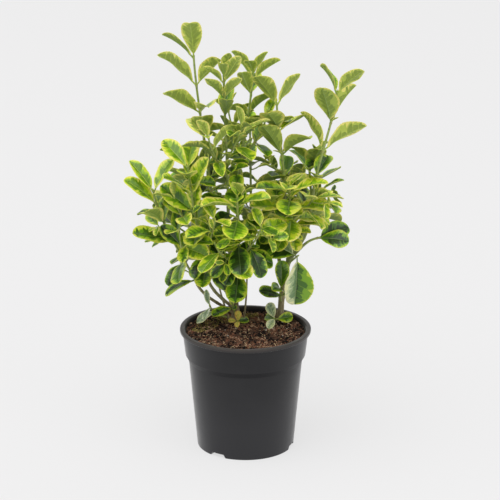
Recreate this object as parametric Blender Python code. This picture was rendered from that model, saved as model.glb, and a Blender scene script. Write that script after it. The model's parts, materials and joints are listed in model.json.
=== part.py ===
"""A potted japanese euonymus with yellow-edged leaves, standing in a plain dark nursery pot.

Metres, +Z up. The origin is the centre of the flat underside of the pot, -Y is the front.
Two stems rise from the soil. Each forks into boughs, and each bough carries one mass of foliage:
shoots that leave the mass's own stem, with leaves in crossed pairs.
"""

import math
import random

import bmesh
import bpy
from mathutils import Matrix, Vector
from mathutils.bvhtree import BVHTree

MM = 0.001
UP = Vector((0, 0, 1))
BACK = Vector((0, 1, 0))
GAP = 0.3 * MM

# Pot: a round plastic nursery pot, 17 cm across the rim.
POT_HEIGHT = 160.5 * MM
RIM_RADIUS = 85.0 * MM
RIM_INNER_RADIUS = 79.2 * MM
LIP_THICKNESS = 4.2 * MM
COLLAR_TOP_RADIUS = 81.5 * MM
COLLAR_BOTTOM_RADIUS = 78.0 * MM
COLLAR_BOTTOM = 125.5 * MM
STEP_RADIUS = 73.8 * MM
STEP_BOTTOM = 115.5 * MM
FOOT_RADIUS = 63.0 * MM
WALL = 2.0 * MM
BASE_THICKNESS = 7.0 * MM
ROUNDING = 1.2 * MM
POT_SEGMENTS = 40
NOTCH_HEIGHT = 5.0 * MM
NOTCH_DEPTH = 13.0 * MM
NOTCH_WIDTH = 24.0 * MM
NOTCH_SLOPE = 3.0 * MM
NOTCH_AXIS = 19.0
NOTCH_SPREAD = 54.0

# Soil: fills the pot to just under its rim.
SOIL_TOP = 153.0 * MM
SOIL_SHOULDER = 2.0 * MM
SOIL_SIDE_GAP = 0.4 * MM

# Limbs: radii at the foot and at the tip, and the widening where a stem enters the soil.
LIMB_SIDES = 7
LIMB_STEPS = 7
FLARE_HEIGHT = 14.0 * MM
FLARE = 0.75
TWIG_SIDES = 3
TWIG_SPACING = 24.0 * MM
LEADER_RADII = (2.5 * MM, 1.9 * MM)
SHOOT_RADII = (2.0 * MM, 1.6 * MM)

# Leaves: sizes as shares of a leaf's length, angles in degrees.
LEAF_WIDTH = 0.58
LEAF_THICKNESS = 0.024
LEAF_ROOT_WIDTH = 0.03
LEAF_SECTIONS = ((0.36, 0.86), (0.78, 0.90))
LEAF_ARCH = 26.0
LEAF_CLEARANCE = 0.6 * MM
RIM_CLEARANCE = 3.0 * MM
BLADE_START = 0.16
FIRST_LEAF_SHARE = 0.82
LAST_PAIR = 0.985
TURN_JITTER = 6.0
SPREAD_JITTER = 5.0
ROLL_JITTER = 12.0
LENGTH_JITTER = 0.08

# How leaves change from the foot of the crown to its top: low ones lie flat and turn outwards to the
# light, high ones stand up, fold along the midrib and face the sky, a little to the back.
CROWN_LOW = 260.0 * MM
CROWN_HIGH = 400.0 * MM
CROWN_AXIS = (8.0 * MM, 45.0 * MM)
CROWN_CORE = 40.0 * MM
UPWARD_LIGHT = 0.6
OUTWARD_LIGHT = (0.75, 0.0)
BACKWARD_LIGHT = (0.0, 0.9)
LEAF_FOLD = (12.0, 20.0)
# A shoot's leaves spread more at its foot than at its tip: shares of the shoot's own spread.
SPREAD_AT_FOOT = 1.3
SPREAD_AT_TIP = 0.7
# A side shoot first leaves its stem outwards, a little along the stem and a little down.
SIDE_OUT = 1.3
SIDE_ALONG = 0.2
SIDE_DOWN = 0.3
FLAT_ANGLE = 0.5
# What is tried in turn where a leaf would touch something: more turn, more spread, and a length share.
LEAF_TRIES = (
    (0, 0, 1.0),
    (13, 0, 1.0),
    (-13, 0, 1.0),
    (0, 13, 1.0),
    (0, -13, 1.0),
    (26, 6, 0.9),
    (-26, 6, 0.9),
    (0, -24, 0.85),
    (0, 26, 0.85),
    (20, -12, 0.7),
    (-20, -12, 0.7),
)


def limb(parent, at, tip, radii, foot_way=(0, 0, 1), tip_way=(0, 0, 1)):
    """A trunk or bough. It leaves its parent at the height given, and tip is its far end, in millimetres."""
    return {
        "parent": parent,
        "at": at,
        "tip": Vector(tip) * MM,
        "radii": (radii[0] * MM, radii[1] * MM),
        "foot_way": Vector(foot_way).normalized(),
        "tip_way": Vector(tip_way).normalized(),
    }


def shoot(tip, pairs, leaf, turn=0, root=None, bare=0.1, spread=50, rise=0.5, broad=1.0, tip_share=0.7,
          crowd=1.2, facing=0.0):
    """A shoot of a mass. The first is the mass's stem; root is where another leaves that stem, from 0 to 1.

    turn is the direction of its pairs, in degrees from the left-right line: one number for the lowest
    pair, each next one being crossed, or one number for each pair. spread is the angle between leaf and
    shoot: one number for the whole shoot, or one for each pair. Either may be two numbers for a pair
    whose two leaves differ. bare is the share with no leaves, and facing how far its leaves turn their
    upper sides to the back, or, below zero, to the front.
    """
    return {
        "tip": Vector(tip) * MM,
        "pairs": pairs,
        "leaf": leaf * MM,
        "turn": turn,
        "root": root,
        "bare": bare,
        "spread": spread,
        "rise": rise,
        "broad": broad,
        "tip_share": tip_share,
        "crowd": crowd,
        "facing": facing,
    }


def from_trunk(name, height, way):
    """Where a mass leaves the side of a trunk: its height above the soil in millimetres, and its way."""
    return {"trunk": name, "height": height * MM, "way": Vector(way).normalized()}


# Trunks and boughs: each starts on its parent's line at a height above the soil, in millimetres.
LIMBS = {
    "trunk": limb(None, (-12, 42), (-15, 40, 199), (5.4, 4.0)),
    "trunk_right": limb(None, (46, 48), (60, 40, 256), (4.4, 2.7), (0, 0, 1), (0.25, -0.1, 1)),
    "bough_far_left": limb("trunk", 10, (-64, 20, 216), (2.1, 1.8), (-1, -0.1, 0.75), (-0.3, -0.3, 1)),
    "bough_left": limb("trunk", 17, (-50, 2, 236), (2.2, 1.9), (-0.7, -0.8, 0.9), (-0.05, -0.2, 1)),
    "bough_front": limb("trunk", 21, (-9, 2, 232), (2.3, 1.9), (0.15, -1, 0.8), (0, -0.3, 1)),
    "bough_back_left": limb("trunk", 24, (-54, 84, 232), (2.3, 1.9), (-0.6, 0.8, 0.8), (-0.2, 0.2, 1)),
    "bough_back": limb("trunk", 28, (4, 88, 246), (2.4, 2.0), (0.5, 0.8, 0.8), (0.1, 0.2, 1)),
    "bough_left_top": limb("trunk", 32, (-42, 31, 318), (3.1, 2.4), (-0.6, 0.1, 1), (-0.1, 0, 1)),
    "bough_middle_left": limb("trunk", 37, (-22, 8, 322), (2.8, 2.1), (-0.1, -0.55, 1), (0, -0.1, 1)),
    "bough_middle": limb("trunk", 41, (-10, 56, 316), (3.0, 2.2), (0.3, 0.4, 1), (0.05, 0, 1)),
    "bough_middle_right": limb("trunk_right", 62, (50, 41, 338), (2.6, 2.1), (-0.6, 0.3, 1), (-0.1, 0, 1)),
    "bough_right_back": limb("trunk_right", 74, (84, 92, 276), (2.5, 2.0), (0.4, 0.9, 0.8), (0.1, 0.2, 1)),
    "bough_right_top": limb("trunk_right", 84, (88, 50, 332), (2.9, 2.4), (0.7, 0.3, 0.9), (0.15, 0, 1)),
    "bough_right_low": limb("trunk_right", 88, (80, 14, 272), (1.9, 1.7), (0.6, -0.7, 0.5), (0.6, -0.5, 0.6)),
    "bough_right": limb("trunk_right", 98, (60, 26, 276), (2.6, 2.1), (-0.1, -0.5, 1), (0, -0.2, 1)),
}

# Masses of foliage: the limb that each grows from, and its shoots, with tips and leaf lengths in millimetres.
MASSES = {
    "foliage_left_top": (
        "bough_left_top",
        shoot((-65, 14, 519), 6, 69, (80, 5, 102, (-40, 211), (168, -21), (-78, 135)), bare=0.1,
              spread=(56, 50, (78, 32), 41, (35, 36), (7, 45)), broad=0.98, tip_share=0.8, crowd=0.95,
              facing=0.3),
        shoot((-66, 62, 366), 3, 42, 40, root=0.06),
        shoot((-30, 8, 394), 3, 44, 60, root=0.16),
    ),
    "foliage_middle_left": (
        "bough_middle_left",
        shoot((-27, -12, 500), 7, 43, (0, 85, 5, (81, 260), (-30, 211), (9, 144), 85), bare=0.05,
              spread=(62, 58, 54, (36, 12), 36, (27, 39), 15), tip_share=0.8, crowd=1.6),
        shoot((-46, -30, 424), 4, 44, 20, root=0.22),
        shoot((-4, -28, 438), 4, 44, 30, root=0.36),
    ),
    "foliage_middle": (
        "bough_middle",
        shoot((10, 63, 486), 7, 48, (0, 90, (-51, 217), (-27, 220), (87, 235), (15, 148), (9, 263)),
              bare=0.05, spread=(58, 58, (36, 51), (30, 63), (45, 42), (42, 39), (24, 36)), tip_share=0.7,
              crowd=1.5),
        shoot((26, 42, 428), 4, 46, 10, root=0.3),
        shoot((-22, 76, 430), 3, 44, 60, root=0.35),
    ),
    "foliage_middle_right": (
        "bough_middle_right",
        shoot((40, 37, 450), 4, 60, (80, (-30, 222), (81, 249), (40, 201)), bare=0.1,
              spread=(60, (45, 39), (75, 28), (42, 24)), tip_share=0.9, crowd=0.95, facing=0.2),
    ),
    "foliage_right_top": (
        "bough_right_top",
        shoot((117, 50, 462), 4, 64, (80, (30, 155), (69, 226), (-12, 112)), bare=0.12,
              spread=(60, 37, (28, 33), (25, 44)), tip_share=0.76, crowd=0.95, facing=0.2),
    ),
    "foliage_far_left": (
        "bough_far_left",
        shoot((-117, -14, 350), 6, 60, (5, 80, 28, (90, 251), (84, 198), (40, 142)), bare=0.02,
              spread=(80, 66, 38, (72, 30), (100, 24), (48, 29)), broad=0.88, tip_share=0.9, facing=-0.6),
        shoot((-84, -26, 300), 3, 48, 60, root=0.2, spread=62, broad=1.1),
    ),
    "foliage_right_foot": (
        from_trunk("trunk_right", 26, (-0.2, -1, 0.5)),
        shoot((46, 28, 202), 2, 50, (12, 75), bare=0.55, spread=(40, 20), tip_share=0.78),
    ),
    "foliage_right_droop": (
        from_trunk("trunk_right", 82, (0.1, -1, 0.15)),
        shoot((68, 10, 255), 1, 64, ((140, 283),), bare=0.9, spread=((96, 104),), rise=0, broad=1.3,
              tip_share=0.92, facing=-1.4),
    ),
    "foliage_right_low": (
        "bough_right_low",
        shoot((94, 5, 281), 1, 44, ((42, 350),), bare=0.9, spread=((42, 22),), rise=-0.1, broad=1.15,
              tip_share=1.0, facing=-0.3),
    ),
    "foliage_left": (
        "bough_left",
        shoot((-72, -30, 386), 7, 56, (80, 0, 85, 5, (-21, 223), 90, (51, 139)), bare=0.04,
              spread=(84, 78, 66, 38, (20, 30), 46, 48), tip_share=0.92, facing=-1.0),
        shoot((-90, -24, 344), 3, 46, 20, root=0.28, spread=60),
        shoot((-38, -48, 322), 4, 46, 40, root=0.15, spread=72, broad=1.15),
    ),
    "foliage_front": (
        "bough_front",
        shoot((-10, -42, 350), 7, 52, (85, 0, 90, 5, 90, 10, 85), bare=0.04, spread=76, broad=1.15),
        shoot((20, -42, 310), 4, 44, 30, root=0.2, spread=76, broad=1.15),
        shoot((-38, -52, 292), 4, 44, 60, root=0.12, spread=76, broad=1.15),
    ),
    "foliage_back_left": (
        "bough_back_left",
        shoot((-78, 102, 330), 5, 54, 20, bare=0.04, spread=60, broad=1.1),
        shoot((-108, 76, 296), 3, 50, 10, root=0.15, spread=66, broad=1.1),
        shoot((-40, 118, 322), 3, 50, 70, root=0.25, spread=62, broad=1.1),
    ),
    "foliage_back": (
        "bough_back",
        shoot((6, 112, 392), 6, 54, 4, bare=0.04, spread=57),
        shoot((42, 126, 334), 3, 50, 40, root=0.15, spread=66, broad=1.1),
        shoot((-22, 134, 330), 3, 50, 20, root=0.12, spread=66, broad=1.1),
    ),
    "foliage_right": (
        "bough_right",
        shoot((56, 4, 350), 7, 54, (85, 0, 85, 5, 90, 10, 85), bare=0.03, spread=74, broad=1.15),
        shoot((92, 6, 344), 4, 46, 30, root=0.3, spread=60, broad=1.1),
        shoot((32, 14, 326), 4, 46, 60, root=0.12, spread=72, broad=1.15),
    ),
    "foliage_right_back": (
        "bough_right_back",
        shoot((84, 112, 352), 5, 54, 30, bare=0.04, spread=56, broad=1.1),
        shoot((58, 120, 322), 3, 50, 60, root=0.15, spread=66, broad=1.1),
        shoot((98, 90, 318), 3, 48, 30, root=0.2, spread=58, broad=1.1),
    ),
    "foliage_front_low": (
        from_trunk("trunk", 6, (-0.1, -1, 0.7)),
        shoot((-19, 14, 202), 2, 42, (30, -6), bare=0.5, spread=(60, 34), tip_share=0.95),
    ),
    "foliage_low_left": (
        from_trunk("trunk", 3, (-1, -0.5, 0.45)),
        shoot((-46, 14, 184), 3, 32, (60, 10, 80), bare=0.4, spread=84, tip_share=0.85),
    ),
    "foliage_foot": (
        from_trunk("trunk", 3, (0.1, -1, 0.1)),
        shoot((-11, 26, 159), 2, 19, (10, 80), bare=0.7, spread=70, rise=0.3, broad=1.15, tip_share=0.9),
    ),
    "foliage_foot_right": (
        from_trunk("trunk_right", 3, (-0.3, -1, 0.1)),
        shoot((38, 30, 161), 2, 29, (0, 85), bare=0.7, spread=70, rise=0.3, broad=1.2, tip_share=0.8),
    ),
}

FOLIAGE_SEED = 41


def curve(start, start_way, end, end_way, steps):
    """Points of a smooth path that leaves start along start_way and arrives at end along end_way."""
    reach = (end - start).length / 3
    first = start + start_way * reach
    second = end - end_way * reach
    points = []
    for step in range(steps + 1):
        t = step / steps
        s = 1 - t
        points.append(start * s**3 + first * (3 * s * s * t) + second * (3 * s * t * t) + end * t**3)
    return points


def frames(points):
    """For each point of a path, its direction and a side direction that is carried along without twist."""
    side = UP.orthogonal()
    result = []
    for index, point in enumerate(points):
        before = points[max(index - 1, 0)]
        after = points[min(index + 1, len(points) - 1)]
        way = (after - before).normalized()
        side = (side - way * side.dot(way)).normalized()
        result.append((point, way, side))
    return result


def along(points, share):
    """The point and the direction at a share of a path's length."""
    lengths = [(after - before).length for before, after in zip(points, points[1:])]
    left = share * sum(lengths)
    for index, length in enumerate(lengths):
        if left <= length or index == len(lengths) - 1:
            way = (points[index + 1] - points[index]).normalized()
            return points[index] + way * min(left, length), way
        left -= length


def tube(points, radii, sides):
    """Vertices and faces of a closed tube round a path, with one radius for each point."""
    verts = []
    for (point, way, side), radius in zip(frames(points), radii):
        other = way.cross(side)
        for corner in range(sides):
            angle = math.tau * corner / sides
            verts.append(point + (side * math.cos(angle) + other * math.sin(angle)) * radius)
    faces = [list(range(sides))[::-1], list(range(len(verts) - sides, len(verts)))]
    for ring in range(len(points) - 1):
        for corner in range(sides):
            low = ring * sides + corner
            next_low = ring * sides + (corner + 1) % sides
            faces.append([low, next_low, next_low + sides, low + sides])
    return verts, faces


def by_height(values, height):
    """A value at a height, between the one for the foot of the crown and the one for its top."""
    low, high = values
    return low + (high - low) * min(max((height - CROWN_LOW) / (CROWN_HIGH - CROWN_LOW), 0.0), 1.0)


def leaf(root, way, face, length, broad, start=0.0, clearance=0.0):
    """Vertices and faces of one leaf: an oval blade, folded along its midrib and bent back to its tip.

    way points along the leaf, face out of its upper side. start leaves out the part next to the twig,
    and clearance makes the leaf wider and thicker.
    """
    arch = math.radians(LEAF_ARCH)
    fold = math.radians(by_height(LEAF_FOLD, root.z))
    half_width = length * LEAF_WIDTH * broad / 2
    half_thickness = length * LEAF_THICKNESS / 2 + clearance
    across = way.cross(face)
    sections = [(start, LEAF_ROOT_WIDTH / LEAF_WIDTH + start)] + list(LEAF_SECTIONS)
    verts = []
    for share, width in sections:
        angle = arch * share
        middle = root + (way * math.sin(angle) - face * (1 - math.cos(angle))) * (length / arch)
        normal = way * math.sin(angle) + face * math.cos(angle)
        half = half_width * width + clearance
        lift = normal * (half * math.sin(fold))
        edge = across * (half * math.cos(fold))
        verts += [middle - edge + lift, middle + normal * half_thickness]
        verts += [middle + edge + lift, middle - normal * half_thickness]
    verts.append(root + (way * math.sin(arch) - face * (1 - math.cos(arch))) * ((length + clearance) / arch))
    faces = [[0, 1, 2, 3]]
    for ring in range(len(sections) - 1):
        for corner in range(4):
            low = ring * 4 + corner
            next_low = ring * 4 + (corner + 1) % 4
            faces.append([low, low + 4, next_low + 4, next_low])
    last = (len(sections) - 1) * 4
    for corner in range(4):
        faces.append([last + corner, len(verts) - 1, last + (corner + 1) % 4])
    return verts, faces


def limb_path(name):
    """Points of a limb's path, from the soil or its parent's line to its tip."""
    data = LIMBS[name]
    if data["parent"] is None:
        start = Vector((data["at"][0] * MM, data["at"][1] * MM, SOIL_TOP + GAP))
    else:
        start = point_at_height(limb_path(data["parent"]), SOIL_TOP + data["at"] * MM)
    return curve(start, data["foot_way"], data["tip"], data["tip_way"], LIMB_STEPS)


def point_at_height(points, height):
    """Where a rising path passes a height."""
    for before, after in zip(points, points[1:]):
        if before.z <= height <= after.z:
            return before.lerp(after, (height - before.z) / (after.z - before.z))
    return points[-1]


def limb_radii(name, points, extra=0.0):
    """A limb's radius at each point of its path. A stem that enters the soil widens at its foot."""
    foot, tip = LIMBS[name]["radii"]
    radii = []
    for index, point in enumerate(points):
        radius = foot + (tip - foot) * index / (len(points) - 1)
        if LIMBS[name]["parent"] is None:
            height = point.z - SOIL_TOP
            radius *= 1 + FLARE * math.exp(-((3 * height / FLARE_HEIGHT) ** 2) / 2)
        radii.append(radius + extra)
    return radii


def shoot_paths(mass):
    """Each shoot's path in a mass, with its radii at the two ends. The first is the mass's stem."""
    carrier, *shoots = MASSES[mass]
    if isinstance(carrier, dict):
        stem_start = point_at_height(limb_path(carrier["trunk"]), SOIL_TOP + carrier["height"])
        stem_way = carrier["way"]
        leader_radii = SHOOT_RADII
    else:
        carrier_points = limb_path(carrier)
        stem_way = (carrier_points[-1] - carrier_points[-2]).normalized()
        stem_start = carrier_points[-1] + stem_way * GAP
        leader_radii = LEADER_RADII
    paths = []
    for data in shoots:
        if data["root"] is None:
            start = stem_start
            start_way = stem_way
            radii = leader_radii
        else:
            start, parent_way = along(paths[0][0], data["root"])
            outward = (data["tip"] - start).normalized()
            start_way = (outward * SIDE_OUT + parent_way * SIDE_ALONG - UP * SIDE_DOWN).normalized()
            radii = SHOOT_RADII
        outward = (data["tip"] - start).normalized()
        end_way = (outward * (1 - data["rise"]) + UP * data["rise"]).normalized()
        steps = max(3, round((data["tip"] - start).length / TWIG_SPACING))
        paths.append((curve(start, start_way, data["tip"], end_way, steps), radii))
    return paths


def kept_shoots(limb_solids):
    """For each mass, its shoots that touch no limb and no twig of another mass, with their paths."""
    kept = {}
    placed = []
    for mass in MASSES:
        kept[mass] = []
        for number, (data, (points, radii)) in enumerate(zip(MASSES[mass][1:], shoot_paths(mass))):
            solid = BVHTree.FromPolygons(*tube(points, twig_radii(points, radii, GAP), TWIG_SIDES))
            others = limb_solids + [other for owner, other in placed if owner != mass]
            if number and any(solid.overlap(other) for other in others):
                continue
            placed.append((mass, solid))
            kept[mass].append((data, points, radii, solid))
    return kept


def twig_radii(points, radii, extra=0.0):
    """A twig's radius at each point, tapering evenly."""
    last = len(points) - 1
    return [radii[0] + (radii[1] - radii[0]) * index / last + extra for index in range(len(points))]


def pair_turns(data):
    """The direction of each pair of a shoot, from the lowest to the highest."""
    if isinstance(data["turn"], tuple):
        return data["turn"]
    return [data["turn"] + 90 * index for index in range(data["pairs"])]


def pair_spread(data, index, share):
    """The angle between a shoot and the leaves of one of its pairs."""
    if isinstance(data["spread"], tuple):
        return data["spread"][index]
    return data["spread"] * (SPREAD_AT_FOOT + (SPREAD_AT_TIP - SPREAD_AT_FOOT) * share)


def leaf_of_pair(value, half, step):
    """One leaf's value in a pair: its own of two, or the pair's value, with a step added for the second."""
    return value[half] if isinstance(value, tuple) else value + half * step


def leaf_places(data, points, rng):
    """Where each leaf of a shoot stands before it is cleared: root, way along the shoot, and its angles."""
    places = []
    for index, turn in enumerate(pair_turns(data)):
        share = index / max(data["pairs"] - 1, 1)
        place = data["bare"] + (1 - data["bare"]) * (1 - (1 - share) ** data["crowd"])
        root, way = along(points, min(place, LAST_PAIR))
        size = FIRST_LEAF_SHARE + (1 - FIRST_LEAF_SHARE) * math.sin(math.pi * share)
        if index == data["pairs"] - 1:
            size = data["tip_share"]
        spread = pair_spread(data, index, share)
        for half in (0, 1):
            places.append(
                {
                    "root": root,
                    "way": way,
                    "facing": data["facing"],
                    "turn": leaf_of_pair(turn, half, 180) + rng.uniform(-TURN_JITTER, TURN_JITTER),
                    "spread": leaf_of_pair(spread, half, 0) + rng.uniform(-SPREAD_JITTER, SPREAD_JITTER),
                    "roll": rng.uniform(-ROLL_JITTER, ROLL_JITTER),
                    "length": data["leaf"] * size * (1 + rng.uniform(-LENGTH_JITTER, LENGTH_JITTER)),
                    "broad": data["broad"] * (1 + rng.uniform(-LENGTH_JITTER, LENGTH_JITTER)),
                }
            )
    return places


def leaf_stance(place, more_turn, more_spread):
    """The direction of a leaf and of its upper side: it leaves the shoot at its spread and faces up."""
    way = place["way"]
    right = (Vector((1, 0, 0)) - way * way.x).normalized()
    back = way.cross(right)
    angle = math.radians(place["turn"] + more_turn)
    outward = right * math.cos(angle) + back * math.sin(angle)
    spread = math.radians(place["spread"] + more_spread)
    leaf_way = way * math.cos(spread) + outward * math.sin(spread)
    root = place["root"]
    light = Vector((root.x - CROWN_AXIS[0], root.y - CROWN_AXIS[1], 0))
    light = light.normalized() * min(light.length / CROWN_CORE, 1) * by_height(OUTWARD_LIGHT, root.z)
    backward = by_height(BACKWARD_LIGHT, root.z) + place["facing"]
    face = way + UP * UPWARD_LIGHT + light + BACK * backward
    face = (face - leaf_way * face.dot(leaf_way)).normalized()
    face = Matrix.Rotation(math.radians(place["roll"]), 3, leaf_way) @ face
    return leaf_way, face


def over_ground(verts):
    """Whether a leaf stays above the soil and clear of the pot's rim."""
    for vert in verts:
        beyond = math.hypot(vert.x, vert.y) > RIM_INNER_RADIUS - RIM_CLEARANCE
        lowest = POT_HEIGHT if beyond else SOIL_TOP
        if vert.z < lowest + LEAF_CLEARANCE * 2:
            return False
    return True


def grown_masses(limb_solids):
    """For each mass, its twigs, and every leaf that finds room: root, two directions, length and breadth.

    A leaf that would touch a limb or another mass is turned a little, and then left out. One that
    would touch its own mass is turned where it can be.
    """
    kept = kept_shoots(limb_solids)
    leaf_solids = {mass: [] for mass in MASSES}
    grown = {}
    for number, mass in enumerate(MASSES):
        rng = random.Random(FOLIAGE_SEED + number)
        others = list(limb_solids)
        for other in MASSES:
            if other != mass:
                others += [solid for _, _, _, solid in kept[other]] + leaf_solids[other]
        leaves = []
        leaf_blades = []
        for own, (data, points, _, _) in enumerate(kept[mass]):
            own_twigs = [row[3] for index, row in enumerate(kept[mass]) if index != own]
            for place in leaf_places(data, points, rng):
                best = None
                for more_turn, more_spread, share in LEAF_TRIES:
                    leaf_way, face = leaf_stance(place, more_turn, more_spread)
                    form = (place["root"], leaf_way, face, place["length"] * share, place["broad"])
                    verts, leaf_faces = leaf(*form, clearance=LEAF_CLEARANCE)
                    whole = BVHTree.FromPolygons(verts, leaf_faces)
                    if not over_ground(verts[4:]) or any(whole.overlap(other) for other in others):
                        continue
                    blade = BVHTree.FromPolygons(*leaf(*form, start=BLADE_START, clearance=LEAF_CLEARANCE))
                    if not any(blade.overlap(other) for other in own_twigs + leaf_blades):
                        best = (form, whole, blade)
                        break
                    best = best or (form, whole, blade)
                if best:
                    leaves.append(best[0])
                    leaf_solids[mass].append(best[1])
                    leaf_blades.append(best[2])
        grown[mass] = ([(points, radii) for _, points, radii, _ in kept[mass]], leaves)
    return grown


def new_object(name, verts, faces, material=None):
    """A mesh object from vertices and faces, its faces turned outwards."""
    mesh = bpy.data.meshes.new(name)
    mesh.from_pydata([tuple(vert) for vert in verts], [], faces)
    form = bmesh.new()
    form.from_mesh(mesh)
    bmesh.ops.recalc_face_normals(form, faces=form.faces)
    form.to_mesh(mesh)
    form.free()
    obj = bpy.data.objects.new(name, mesh)
    bpy.context.scene.collection.objects.link(obj)
    if material:
        mesh.materials.append(material)
    return obj


def turned(name, profile, material):
    """A closed solid turned round Z from a profile of radius and height that starts and ends on the axis."""
    verts = []
    rings = []
    for radius, height in profile:
        if radius == 0:
            rings.append([len(verts)])
            verts.append(Vector((0, 0, height)))
            continue
        rings.append(list(range(len(verts), len(verts) + POT_SEGMENTS)))
        for step in range(POT_SEGMENTS):
            angle = math.tau * step / POT_SEGMENTS
            verts.append(Vector((radius * math.cos(angle), radius * math.sin(angle), height)))
    faces = []
    for ring, next_ring in zip(rings, rings[1:]):
        for step in range(POT_SEGMENTS):
            after = (step + 1) % POT_SEGMENTS
            if len(ring) == 1:
                faces.append([ring[0], next_ring[step], next_ring[after]])
            elif len(next_ring) == 1:
                faces.append([ring[step], next_ring[0], ring[after]])
            else:
                faces.append([ring[step], next_ring[step], next_ring[after], ring[after]])
    obj = new_object(name, verts, faces, material)
    obj.data.shade_smooth()
    obj.data.set_sharp_from_angle(angle=math.radians(30))
    return obj


def make_material(name, color, roughness, metallic=0.0):
    material = bpy.data.materials.new(name)
    material.use_nodes = True
    shader = material.node_tree.nodes["Principled BSDF"]
    shader.inputs["Base Color"].default_value = (*color, 1)
    shader.inputs["Roughness"].default_value = roughness
    shader.inputs["Metallic"].default_value = metallic
    return material


def boolean(obj, operation, cutter=None, collection=None):
    """Applies one exact Boolean to an object, and removes what it was made with."""
    modifier = obj.modifiers.new(operation.title(), "BOOLEAN")
    modifier.operation = operation
    modifier.solver = "EXACT"
    if collection:
        modifier.operand_type = "COLLECTION"
        modifier.collection = collection
    else:
        modifier.object = cutter
    graph = bpy.context.evaluated_depsgraph_get()
    mesh = bpy.data.meshes.new_from_object(obj.evaluated_get(graph))
    obj.modifiers.clear()
    obj.data = mesh
    used = list(collection.objects) if collection else [cutter]
    for item in used:
        bpy.data.objects.remove(item)
    if collection:
        bpy.data.collections.remove(collection)


def tidy_mesh(obj):
    """Merges doubled points and drops loose scraps, so that one closed body is left."""
    form = bmesh.new()
    form.from_mesh(obj.data)
    bmesh.ops.remove_doubles(form, verts=form.verts, dist=0.005 * MM)
    bmesh.ops.dissolve_degenerate(form, edges=form.edges, dist=0.005 * MM)
    bmesh.ops.dissolve_limit(form, verts=form.verts, edges=form.edges, angle_limit=math.radians(FLAT_ANGLE))
    bmesh.ops.triangulate(form, faces=form.faces)
    groups = []
    left = set(form.verts)
    while left:
        start = left.pop()
        group = {start}
        edge_of_group = [start]
        while edge_of_group:
            vert = edge_of_group.pop()
            for edge in vert.link_edges:
                other = edge.other_vert(vert)
                if other in left:
                    left.remove(other)
                    group.add(other)
                    edge_of_group.append(other)
        groups.append(group)
    groups.sort(key=len)
    scraps = [vert for group in groups[:-1] for vert in group]
    bmesh.ops.delete(form, geom=scraps, context="VERTS")
    form.to_mesh(obj.data)
    form.free()


def make_pot(material):
    """The pot: a turned shell with a rolled rim, a collar, a step below it, and drain notches at its foot."""
    under_lip = POT_HEIGHT - LIP_THICKNESS
    inner_foot = FOOT_RADIUS - WALL
    outer = [
        (0, 0),
        (FOOT_RADIUS - ROUNDING, 0),
        (FOOT_RADIUS, ROUNDING),
        (STEP_RADIUS, STEP_BOTTOM),
        (COLLAR_BOTTOM_RADIUS - ROUNDING / 2, COLLAR_BOTTOM - ROUNDING),
        (COLLAR_BOTTOM_RADIUS, COLLAR_BOTTOM),
        (COLLAR_TOP_RADIUS, under_lip - ROUNDING),
        (COLLAR_TOP_RADIUS + ROUNDING, under_lip),
        (RIM_RADIUS - ROUNDING, under_lip),
        (RIM_RADIUS, under_lip + ROUNDING),
        (RIM_RADIUS, POT_HEIGHT - ROUNDING),
        (RIM_RADIUS - ROUNDING, POT_HEIGHT),
    ]
    inner = [
        (RIM_INNER_RADIUS + ROUNDING, POT_HEIGHT),
        (RIM_INNER_RADIUS, POT_HEIGHT - ROUNDING),
        (COLLAR_BOTTOM_RADIUS - WALL, COLLAR_BOTTOM + WALL),
        (STEP_RADIUS - WALL, STEP_BOTTOM + WALL),
        (inner_foot, BASE_THICKNESS),
        (0, BASE_THICKNESS),
    ]
    pot = turned("pot", outer + inner, material)
    for end in (0, 180):
        for side in (-1, 1):
            cutter = notch_cutter(NOTCH_AXIS + end + side * NOTCH_SPREAD)
            boolean(pot, "DIFFERENCE", cutter)
    return pot


def notch_cutter(azimuth):
    """A wedge with sloping ends that cuts one drain notch, at an azimuth in degrees from the front."""
    inner = FOOT_RADIUS - NOTCH_DEPTH
    outer = FOOT_RADIUS + NOTCH_DEPTH
    verts = []
    for radius in (inner, outer):
        for height, half in ((-NOTCH_HEIGHT, NOTCH_WIDTH / 2), (NOTCH_HEIGHT, NOTCH_WIDTH / 2 - NOTCH_SLOPE)):
            verts += [Vector((-half, -radius, height)), Vector((half, -radius, height))]
    faces = [[0, 1, 3, 2], [4, 6, 7, 5], [0, 4, 5, 1], [2, 3, 7, 6], [0, 2, 6, 4], [1, 5, 7, 3]]
    cutter = new_object("notch_cutter", verts, faces)
    cutter.data.transform(Matrix.Rotation(math.radians(azimuth), 4, "Z"))
    return cutter


def make_soil(material):
    """The soil: one solid that fills the pot with a small gap all round."""
    gap = SOIL_SIDE_GAP
    inner_foot = FOOT_RADIUS - WALL
    share = (SOIL_TOP - SOIL_SHOULDER - COLLAR_BOTTOM - WALL) / (POT_HEIGHT - ROUNDING - COLLAR_BOTTOM - WALL)
    wall_low = COLLAR_BOTTOM_RADIUS - WALL
    shoulder_radius = wall_low + (RIM_INNER_RADIUS - wall_low) * share
    profile = [
        (0, BASE_THICKNESS + GAP),
        (inner_foot - gap, BASE_THICKNESS + GAP),
        (STEP_RADIUS - WALL - gap, STEP_BOTTOM + WALL),
        (wall_low - gap, COLLAR_BOTTOM + WALL + gap),
        (shoulder_radius - gap, SOIL_TOP - SOIL_SHOULDER),
        (shoulder_radius - gap - SOIL_SHOULDER, SOIL_TOP),
        (0, SOIL_TOP),
    ]
    return turned("soil", profile, material)


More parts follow.
